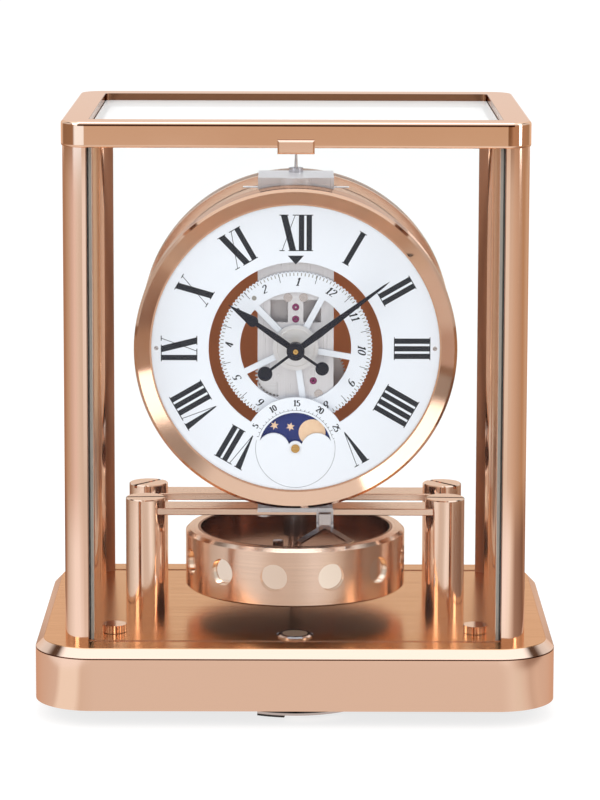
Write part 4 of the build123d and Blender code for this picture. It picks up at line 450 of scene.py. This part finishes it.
# The ring's recesses are polished and lit by a painted highlight, and painted shade turns its hollow brown.
RECESS = (0.0362, 0.0386)
RECESS_LEVEL = 0.046
RECESS_RADIUS = 0.0055
HOLLOW = 0.0350
ring_gilt = gilt("turned_rose_gilt", roughness=0.17, lines="round z")
x, y, z = ring_gilt.place()
radius = distance(x, y)
polished_recess_highlight = within(radius, RECESS[1]) * radius.above(RECESS[0]) * within(z - RECESS_LEVEL, RECESS_RADIUS)
ring_gilt.set("Roughness", 0.2 - polished_recess_highlight * 0.12)
# Painted highlight: the polished recesses are coloured a pale cream.
highlit_ring_tone = ring_gilt.mix(polished_recess_highlight, ring_gilt.tone, (1.0, 0.92, 0.85))
# Painted shade: the hollow inside the ring is coloured brown.
ring_gilt.set("Base Color", ring_gilt.mix(within(radius, HOLLOW), highlit_ring_tone, linear(132, 90, 74)))

# The drum: a plain bezel, thin dark lines between its turned rings, and painted shade on the outer edge of the
# rear ring.
REAR_RIM = 0.0556
REAR_SHOULDER = 0.0225
FRONT_RING_LINE = (-0.0198, 0.0008)
REAR_RING_LINE = (0.0200, 0.0006)
bezel_gilt = gilt("bezel_rose_gilt", color=linear(214, 177, 154), roughness=0.09)
rear_gilt = gilt("rear_rose_gilt", roughness=0.12)
x, y, z = rear_gilt.place()
# Painted shade: the rear ring's outer edge is coloured dark brown, and the rest a pale cream.
rim = distance(x, z - DRUM_HEIGHT).above(REAR_RIM) * y.above(REAR_SHOULDER)
rear_gilt.set("Base Color", rear_gilt.mix(rim, linear(255, 240, 228), linear(104, 70, 52)))
drum_gilt = gilt("drum_rose_gilt", color=linear(252, 230, 214), roughness=0.2, lines="round y")
drum_gilt.set("Metallic", 0.55)
x, y, z = drum_gilt.place()
ring_lines = (within(y - FRONT_RING_LINE[0], FRONT_RING_LINE[1]) + within(y - REAR_RING_LINE[0], REAR_RING_LINE[1])).clamped()
drum_gilt.set("Base Color", drum_gilt.mix(ring_lines, drum_gilt.tone, linear(96, 64, 48)))

# Behind the dial's opening a faint glow stands in for light that the turned walls pass on.
well_gilt = gilt("well_rose_gilt", color=linear(226, 150, 104), roughness=0.4, lines="round y")
well_gilt.set("Metallic", 0.1)
well_gilt.set("Emission Strength", 1.0)
x, y, z = well_gilt.place()
glow = well_gilt.noise(well_gilt.vector(x * 60.0, y * 60.0, (z - DRUM_HEIGHT) * 60.0), 1.0, 2.0)
well_gilt.set("Emission Color", well_gilt.mix(glow, (0.15, 0.052, 0.022), (0.08, 0.027, 0.012)))
bar_gilt = gilt("bar_rose_gilt", roughness=0.2, lines="x")

dress(plinth, "base_shell")
dress(post_gilt, "corner_posts")
dress(frame_gilt, "top_frame")
dress(polished, "pillars", "door_knob", "pillar_caps")
dress(polished, "left_level_knob", "right_level_knob")
dress(bezel_gilt, "bezel", "dial_clamp_ring")
dress(rear_gilt, "rear_ring")
dress(drum_gilt, "drum_shell", "rear_cover")
dress(well_gilt, "drum_well")
dress(bar_gilt, "bridge_bars")
dress(ring_gilt, "balance_ring", "balance_web")

# %% [markdown]
# The movement is rhodium-plated: pale, cool and finely brushed up and down. Wheels are
# gilt brass, and the screws and the wire are bright steel.

# %% Silver plates, steel and brass
silver = gilt("brushed_rhodium", color=linear(232, 232, 238), roughness=0.30, lines="z")
satin = gilt("satin_rhodium", color=linear(238, 239, 244), roughness=0.32, lines="x")
steel = gilt("bright_steel", color=linear(206, 206, 212), roughness=0.18)
for finish in (silver, satin):
    finish.set("Metallic", 0.4)
brass = gilt("gilt_brass", color=linear(226, 188, 120), roughness=0.24, lines="round y")
dress(silver, "front_plate", "rear_plate", "calendar_bridge", "movement_base", "suspension_block")
dress(satin, "centre_cover", "minute_wheel", "day_wheel", "barrel")
dress(steel, "short_screws", "long_screws", "bridge_screws", "movement_pillars", "suspension_head")
dress(steel, "balance_hub", "torsion_wire", "regulator_knob", "balance_stop", "level_bezel")
dress(steel, "left_level_foot", "right_level_foot", "lock_lever", "lock_cam", "lift_post")
dress(brass, "centre_arbor", "hour_wheel", "third_wheel", "moon_arbor", "bellows")

# %% [markdown]
# The panes are thin and clean. A mix of clear and mirror by the angle of view lets
# straight looks through and catches light at a slant, without the slow bending of rays.

# %% Glass, ruby, rubber and paint
def pane(name, metallic, roughness, share, power):
    """Thin glass: clear straight on, and a mirror or a white sheen at a slant."""
    finish = Finish(name, (0.97, 0.98, 0.98), Roughness=roughness, Metallic=metallic)
    clear = finish.add("BsdfTransparent", {}, {"Color": (0.985, 0.992, 0.99, 1)})
    slant = finish.add("LayerWeight", {}, {"Blend": 0.5}, "Facing")
    blend = finish.tree.nodes.new("ShaderNodeMixShader")
    finish.plug(blend.inputs[0], slant ** power * share + 0.008)
    finish.tree.links.new(clear.socket, blend.inputs[1])
    finish.tree.links.new(finish.surface.outputs[0], blend.inputs[2])
    finish.tree.links.new(blend.outputs[0], finish.tree.nodes["Material Output"].inputs["Surface"])
    return finish


glass = pane("window_glass", 1.0, 0.02, 0.9, 5.0)
roof = pane("roof_glass", 0.0, 0.3, 0.98, 3.0)
vial = Finish("vial_glass", linear(176, 150, 130), Roughness=0.03, Metallic=0.4)
ruby = Finish("ruby", linear(122, 44, 92), Roughness=0.08, Metallic=0.0)
rubber = Finish("black_rubber", (0.02, 0.02, 0.02), Roughness=0.6)
grip = Finish("black_grip", (0.012, 0.012, 0.012), Roughness=0.45)
moon_blue = Finish("moon_blue", linear(36, 50, 114), Roughness=0.35, Specular_IOR_Level=0.3)
hand_blue = Finish("hand_lacquer", linear(26, 30, 44), Roughness=0.34, Specular_IOR_Level=0.3)
dress(glass, "side_glasses", "back_glass", "front_glass")
dress(roof, "top_glass")
dress(vial, "level_vial")
dress(ruby, "jewels")
dress(rubber, "rear_foot")
dress(grip, "lock_lever_grip", "base_cover")
dress(moon_blue, "moon_disc")
dress(hand_blue, "hour_hand", "minute_hand")

# %% [markdown]
# The dial is a painted plate with a faint blue in its white, and a very fine tooth that
# only shows in its highlights.

# %% Dial paint
enamel = Finish("dial_enamel", linear(234, 238, 247), Roughness=0.42)
tooth = enamel.speckle(1400.0)
enamel.set("Roughness", tooth * 0.14 + 0.36)
enamel.bump(tooth, 0.05, BRUSH_DEPTH)
dress(enamel, "dial", "month_wheel")

# %% [markdown]
# The hour figures, the day scale and the month numbers are printed. Ink has almost no
# thickness, but a flat picture of it would be lost in side views, so each mark is a sheet
# 0.03 mm proud of the face and let a little way into it. A drawing collects outlines in
# millimetres, placed by a clock angle and a distance from the middle of the plate, and
# one call turns them all into a mesh.

# %% A drawing of flat marks
INK_HEIGHT = 0.03
INK_DEPTH = 0.01


class Drawing:
    """Marks on a plate, in millimetres: x to the right and z up, from the plate's centre."""

    def __init__(self):
        self.corners = []
        self.faces = []
        self.aim(0.0, 0.0)

    def aim(self, angle, distance, centre=(0.0, 0.0), slant=0.0, spin=0.0):
        """What follows stands on a circle at a clock angle, with its foot at the distance."""
        self.angle = math.radians(angle)
        self.distance = distance
        self.centre = centre
        self.slant = slant
        self.spin = math.radians(spin)

    def put(self, x, z):
        x = x + z * self.slant
        z = z + self.distance
        turn = self.angle
        return (self.centre[0] + x * math.cos(turn) + z * math.sin(turn),
                self.centre[1] - x * math.sin(turn) + z * math.cos(turn))

    def solid(self, outline, walls, sheets):
        start = len(self.corners)
        count = len(outline)
        placed = [self.put(*point) for point in outline]
        self.corners += [(x, -INK_HEIGHT, z) for x, z in placed] + [(x, INK_DEPTH, z) for x, z in placed]
        for sheet in sheets:
            self.faces.append([start + index for index in sheet])
            self.faces.append([start + count + index for index in reversed(sheet)])
        self.faces += [(start + b, start + a, start + count + a, start + count + b) for a, b in walls]

    def shape(self, *outline):
        """A closed outline of any form."""
        count = len(outline)
        self.solid(outline, [(i, (i + 1) % count) for i in range(count)], [range(count)])

    def strip(self, left, right):
        """The band between two lines with as many points."""
        count = len(left)
        around = list(range(count)) + list(range(2 * count - 1, count - 1, -1))
        walls = list(zip(around, around[1:] + around[:1]))
        sheets = [(i, i + 1, count + i + 1, count + i) for i in range(count - 1)]
        self.solid(list(left) + list(right), walls, sheets)

    def bar(self, x, z, width, height):
        self.shape((x, z), (x + width, z), (x + width, z + height), (x, z + height))

    def arc(self, radius, width, start, end, centre=(0.0, 0.0)):
        """Part of a ring round the centre, between two clock angles."""
        steps = max(2, int(abs(end - start) / 4))
        angles = [math.radians(start + (end - start) * i / steps) for i in range(steps + 1)]
        inner, outer = [
            [(centre[0] + r * math.sin(a), centre[1] + r * math.cos(a)) for a in angles]
            for r in (radius - width / 2, radius + width / 2)]
        self.strip(inner, outer)

    def disc(self, radius, x=0.0, z=0.0):
        angles = [math.tau * i / 40 for i in range(40)]
        self.shape(*[(x + radius * math.cos(a), z + radius * math.sin(a)) for a in angles])

    def pen(self, points, thick, thin):
        """A pen line: thick where it runs up or down, thin where it runs across."""
        left, right = [], []
        for i, (x, z) in enumerate(points):
            before, after = points[max(i - 1, 0)], points[min(i + 1, len(points) - 1)]
            run, rise = after[0] - before[0], after[1] - before[1]
            length = math.hypot(run, rise)
            half = (thin + (thick - thin) * (abs(rise) / length) ** 2) / 2
            left.append((x - half * rise / length, z + half * run / length))
            right.append((x + half * rise / length, z - half * run / length))
        self.strip(left, right)

    def build(self, name, finish, face, height, body, slot):
        """Make the piece, with the drawing's centre at this height of the clock."""
        mesh = bpy.data.meshes.new(name)
        places = [(x / 1000, face + y / 1000, height + z / 1000) for x, y, z in self.corners]
        mesh.from_pydata(places, [], self.faces)
        sheet = bmesh.new()
        sheet.from_mesh(mesh)
        bmesh.ops.recalc_face_normals(sheet, faces=sheet.faces)
        sheet.to_mesh(mesh)
        sheet.free()
        mesh.materials.append(finish.material)
        piece = bpy.data.objects.new(name, mesh)
        bpy.context.collection.objects.link(piece)
        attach(piece, body)
        print(name, len(mesh.polygons), "faces")
        return piece


# %% [markdown]
# The hour figures are tall Roman letters with their feet to the middle. Each is built
# from three letters. An I is one thick stem, an X is a thick stroke crossed by a
# hairline, and a V is a wedge and a hairline. Thin bars close the ends, and neighbouring
# stems share them. All measures were read from the photograph at the dial's scale.

# %% Roman hour figures
FIGURE_FOOT = 34.2
FIGURE_HEIGHT = 12.7
STEM = 1.85
STEM_GAP = 0.82
CROSS_GAP = 0.58
HAIR = 0.22
SERIF = 0.3
SERIF_REACH = 0.45
CROSS_WIDTH = 6.0
WEDGE_WIDTH = 5.4
MARK_FOOT = 29.5


def stems(drawing, x, count):
    """One to four I's. Returns where the next letter may start."""
    width = count * STEM + (count - 1) * STEM_GAP
    for index in range(count):
        drawing.bar(x + index * (STEM + STEM_GAP), 0.0, STEM, FIGURE_HEIGHT)
    for low in (0.0, FIGURE_HEIGHT - SERIF):
        for start in (x - SERIF_REACH, x + width):
            drawing.bar(start, low, SERIF_REACH, SERIF)
        for index in range(count - 1):
            drawing.bar(x + STEM + index * (STEM + STEM_GAP), low, STEM_GAP, SERIF)
    return x + width


def cross(drawing, x):
    thick, top = 2.25, FIGURE_HEIGHT
    drawing.shape((x + 3.45, 0), (x + 3.45 + thick, 0), (x + 0.3 + thick, top), (x + 0.3, top))
    drawing.shape((x + 0.62, 0), (x + 0.62 + HAIR, 0), (x + 5.25 + HAIR, top), (x + 5.25, top))
    for start, length, low in [(x - 0.15, 3.15, top - SERIF), (x + 3.0, 3.15, 0.0),
                               (x - 0.15, 1.8, 0.0), (x + 4.45, 1.75, top - SERIF)]:
        drawing.bar(start, low, length, SERIF)
    return x + CROSS_WIDTH


def wedge(drawing, x):
    top = FIGURE_HEIGHT
    drawing.shape((x + 2.5, 0), (x + 2.85, 0), (x + 0.3 + 2.2, top), (x + 0.3, top))
    drawing.shape((x + 2.6, 0), (x + 2.6 + HAIR, 0), (x + 4.75 + HAIR, top), (x + 4.75, top))
    drawing.bar(x - 0.15, top - SERIF, 3.05, SERIF)
    drawing.bar(x + 4.0, top - SERIF, 1.7, SERIF)
    return x + WEDGE_WIDTH


# The moon dial takes the place of the sixth figure.
FIGURES = {
    1: "I", 2: "II", 3: "III", 4: "IIII", 5: "V", 7: "VII", 8: "VIII", 9: "IX", 10: "X", 11: "XI", 12: "XII"}
LETTERS = {"V": (wedge, WEDGE_WIDTH), "X": (cross, CROSS_WIDTH)}


def width_of(letter, count):
    return count * STEM + (count - 1) * STEM_GAP if letter == "I" else LETTERS[letter][1]


hours = Drawing()
for hour, figure in FIGURES.items():
    parts = []
    for letter in figure:
        if letter == "I" and parts and parts[-1][0] == "I":
            parts[-1][1] += 1
        else:
            parts.append([letter, 1])
    widths = [width_of(letter, count) for letter, count in parts]
    x = -(sum(widths) + CROSS_GAP * (len(parts) - 1)) / 2
    hours.aim(30.0 * hour, FIGURE_FOOT)
    for letter, count in parts:
        x = (stems(hours, x, count) if letter == "I" else LETTERS[letter][0](hours, x)) + CROSS_GAP

# A small triangle under the twelve marks the month.
hours.aim(0.0, MARK_FOOT)
hours.shape((0.0, 0.0), (2.8, 3.1), (-2.8, 3.1))
ink = Finish("printed_ink", linear(36, 41, 51), Roughness=0.5, Specular_IOR_Level=0.3)
grain = ink.speckle(2600.0)
ink.set("Roughness", grain * 0.2 + 0.35)
ink.bump(grain, 0.1, 0.00001)
hours.build("hour_figures", ink, DIAL_FACE, DRUM_HEIGHT, "case", "hand_blue")

# %% [markdown]
# The small numbers have the contrast of engraved type. A pen that is thick when it runs
# up or down and thin when it runs across gives just that, so each digit is a few pen
# lines along arcs and straights. Months lean like a script, and days stand upright.

# %% Digits for the day and month scales
MOON_DROP = 35.4
DIGIT_WIDTH = 0.56
DAY_RADIUS = 13.5
DAY_STEP = 6.15
DAY_TURN = 1.5


def curve(x, z, wide, tall, start, end, steps=18):
    """Points on an oval, by clock angles."""
    turns = [math.radians(start + (end - start) * i / steps) for i in range(steps + 1)]
    return [(x + wide * math.sin(t), z + tall * math.cos(t)) for t in turns]


# Each digit's pen lines in a box 1 high and 0.56 wide, with its foot at the origin.
DIGITS = {
    "0": [curve(0.28, 0.5, 0.22, 0.46, 0, 360, 28)],
    "1": [[(0.12, 0.78), (0.28, 0.93)], [(0.3, 0.03), (0.3, 0.5), (0.3, 0.97)], [(0.12, 0.03), (0.48, 0.03)]],
    "2": [curve(0.27, 0.72, 0.2, 0.24, -80, 125) + [(0.2, 0.28), (0.06, 0.04)],
          [(0.06, 0.05), (0.5, 0.05)]],
    "3": [curve(0.25, 0.74, 0.19, 0.22, -70, 170), curve(0.25, 0.27, 0.22, 0.25, 10, 255)],
    "4": [[(0.38, 0.03), (0.38, 0.5), (0.38, 0.97)], [(0.36, 0.95), (0.2, 0.6), (0.04, 0.28)],
          [(0.04, 0.28), (0.54, 0.28)]],
    "5": [[(0.12, 0.93), (0.48, 0.93)], [(0.13, 0.93), (0.12, 0.7), (0.11, 0.55)],
          curve(0.24, 0.31, 0.24, 0.28, -30, 240)],
    "6": [curve(0.34, 0.5, 0.27, 0.46, 30, -95), curve(0.28, 0.28, 0.21, 0.25, 0, 360, 24)],
    "7": [[(0.05, 0.93), (0.5, 0.93)], [(0.5, 0.93), (0.33, 0.5), (0.24, 0.03)]],
    "8": [curve(0.28, 0.73, 0.17, 0.22, 0, 360, 24), curve(0.28, 0.27, 0.21, 0.25, 0, 360, 24)],
    "9": [curve(0.28, 0.71, 0.21, 0.25, 0, 360, 24), curve(0.22, 0.5, 0.27, 0.46, 85, 205)],
}


def number(drawing, value, height, thick, thin):
    """A whole number, centred on where the drawing is aimed."""
    text = str(value)
    advance = DIGIT_WIDTH * height
    start = -advance * len(text) / 2
    for index, digit in enumerate(text):
        left = start + index * advance
        for line in DIGITS[digit]:
            drawing.pen([(left + x * height, z * height) for x, z in line], thick, thin)


days = Drawing()
middle = (0.0, -MOON_DROP)
days.arc(DAY_RADIUS, 0.1, -72, 74, middle)
days.arc(13.9, 0.1, 78, 282, middle)
for day in range(3, 28):
    long = day % 5 == 0
    angle = DAY_TURN + DAY_STEP * (day - 15)
    days.aim(angle, DAY_RADIUS, middle)
    days.bar(-0.08, 0.0, 0.16, 1.1 if long else 0.6)
    if long:
        days.aim(angle, DAY_RADIUS + 1.5, middle)
        number(days, day, 2.2, 0.5, 0.2)
days.build("day_scale", ink, DIAL_FACE, DRUM_HEIGHT, "case", "hand_blue")

# %% [markdown]
# The month ring carries plain numbers in place of names. They run round against the
# clock, because the ring turns to bring the next one under the mark.

# %% Month numbers
MONTH_FACE = -0.0280
MONTH_TURN = 1.4
MONTH_FOOT = 21.7
TEETH = 122
TOOTH_FOOT = 25.2

months = Drawing()
for month in range(1, 13):
    angle = MONTH_TURN - 30.0 * (month - 1)
    months.aim(angle, MONTH_FOOT, slant=0.28)
    number(months, month, 2.9, 0.56, 0.2)
    months.aim(angle - 14.6, 0.0)
    months.bar(-0.09, 23.3, 0.18, 3.1)
months.build("month_numbers", ink, MONTH_FACE, DRUM_HEIGHT, "month_wheel", "hand_blue")
# Painted shade: grey ticks round the month ring's edge stand in for the shaded gaps between its teeth.
teeth_shade = Drawing()
for tooth in range(TEETH):
    teeth_shade.aim(360.0 * (tooth + 0.5) / TEETH, TOOTH_FOOT)
    teeth_shade.bar(-0.16, 0.0, 0.32, 1.1)
mark = Drawing()
mark.disc(0.83, -14.45, 17.3)
# One grey serves the printed setting mark and the painted shade of the teeth and of the cover's edges.
grey_print_and_shade = Finish("grey_print_and_shade", linear(150, 146, 140), Roughness=0.4)
speck = grey_print_and_shade.speckle(3000.0)
grey_print_and_shade.set("Roughness", speck * 0.2 + 0.3)
teeth_shade.build("month_teeth_shade", grey_print_and_shade, MONTH_FACE, DRUM_HEIGHT, "month_wheel", "plate_silver")
mark.build("month_setting_mark", grey_print_and_shade, MONTH_FACE, DRUM_HEIGHT, "month_wheel", "plate_silver")

# %% [markdown]
# The moon disc carries two gold moons and two pairs of stars, one set for each half
# turn, so that the second moon rises as the first one sets. They are gilt, and laid in.

# %% Moons and stars
MOON_FACE = -0.0291
MOON_RADIUS = 4.7
STAR_TIP = 1.6
STAR_NOTCH = 0.72

sky_gold = Finish("moon_gold", linear(246, 214, 182), Metallic=0.25, Roughness=0.35)
mottle = sky_gold.speckle(900.0, 4.0)
sky_gold.set("Base Color", sky_gold.mix(mottle, linear(252, 222, 192), linear(234, 196, 160)))
sky_gold.set("Roughness", mottle * 0.2 + 0.25)
moons = Drawing()
for turn in (1, -1):
    moons.aim(0.0, 0.0)
    moons.disc(MOON_RADIUS, turn * 5.83, turn * 5.41)
    for star_x, star_z in [(-7.34, 7.9), (-1.74, 7.45)]:
        points = []
        for index in range(12):
            reach = STAR_TIP if index % 2 == 0 else STAR_NOTCH
            angle = math.radians(30 * index + 12)
            points.append((turn * star_x + reach * math.sin(angle), turn * star_z + reach * math.cos(angle)))
        moons.shape(*points)
moons.build("moons_and_stars", sky_gold, MOON_FACE, DRUM_HEIGHT - MOON_DROP / 1000, "moon", "rose_gold_trim")

# %% [markdown]
# A few things are too small for the imported model: the rings that hold the jewels, the
# screws on the dial and on the cover of the hands' arbor, and the black and grey strips
# where the front pane meets its posts.

# %% Settings, screws and strips
BRIDGE_FACE = -0.0268
COVER_FACE = -0.02885
settings = Drawing()
for x, z in [(0.0, 16.2), (0.0, 12.3), (6.1, -9.1)]:
    settings.arc(1.45, 0.42, 0, 360, (x, z))
settings.build("jewel_settings", satin, BRIDGE_FACE, DRUM_HEIGHT, "case", "bridge_silver")

dark = Finish("slot_shadow", (0.05, 0.045, 0.04), Roughness=0.5)


def slotted(name, finish, face, radius, places):
    """Screw heads with a dark slot, at places given as x, z and the slot's angle."""
    heads, slots = Drawing(), Drawing()
    for x, z, angle in places:
        heads.disc(radius, x, z)
        slots.aim(angle, 0.0)
        turn = math.radians(-angle)
        along = x * math.cos(turn) + z * math.sin(turn)
        across = z * math.cos(turn) - x * math.sin(turn)
        slots.bar(along - radius * 0.85, across - radius * 0.13, radius * 1.7, radius * 0.26)
    heads.build(name, finish, face, DRUM_HEIGHT, "case", "screw_steel")
    slots.build(name + "_slots", dark, face - INK_HEIGHT / 1000, DRUM_HEIGHT, "case", "dark_steel")


# Painted shade: grey lines on the cover of the hands' arbor stand in for the shade along its edges.
rings = Drawing()
for radius in (5.9, 7.6):
    rings.arc(radius, 0.16, 0, 360)
rings.build("cover_edge_shade", grey_print_and_shade, COVER_FACE, DRUM_HEIGHT, "case", "cover_silver")
slotted("dial_screws", steel, DIAL_FACE, 0.78, [(-48.5, 0.0, 35.0), (48.5, 0.0, -20.0)])
slotted("cover_screws", steel, COVER_FACE, 0.8, [(0.0, 4.6, 20.0), (-4.0, -2.3, 70.0), (4.0, -2.3, -40.0)])

# The strips run up both front posts, from the plate to the top frame.
LIP_FACE = -0.05325
STRIP_FOOT = 27.5
STRIP_HEIGHT = 171.3
STRIP_OUTSIDE = 71.05
STRIP_INSIDE = 70.3
EDGE_INSIDE = 69.3
post_strips, edges = Drawing(), Drawing()
for side in (-1, 1):
    post_strips.bar(min(side * STRIP_OUTSIDE, side * STRIP_INSIDE), STRIP_FOOT, STRIP_OUTSIDE - STRIP_INSIDE, STRIP_HEIGHT)
    edges.bar(min(side * STRIP_INSIDE, side * EDGE_INSIDE), STRIP_FOOT, STRIP_INSIDE - EDGE_INSIDE, STRIP_HEIGHT)
post_strips.build("pane_strips", rubber, LIP_FACE, 0.0, "case", "foot_rubber")
edges.build("pane_strip_edges", grey_print_and_shade, LIP_FACE, 0.0, "case", "post_gold")
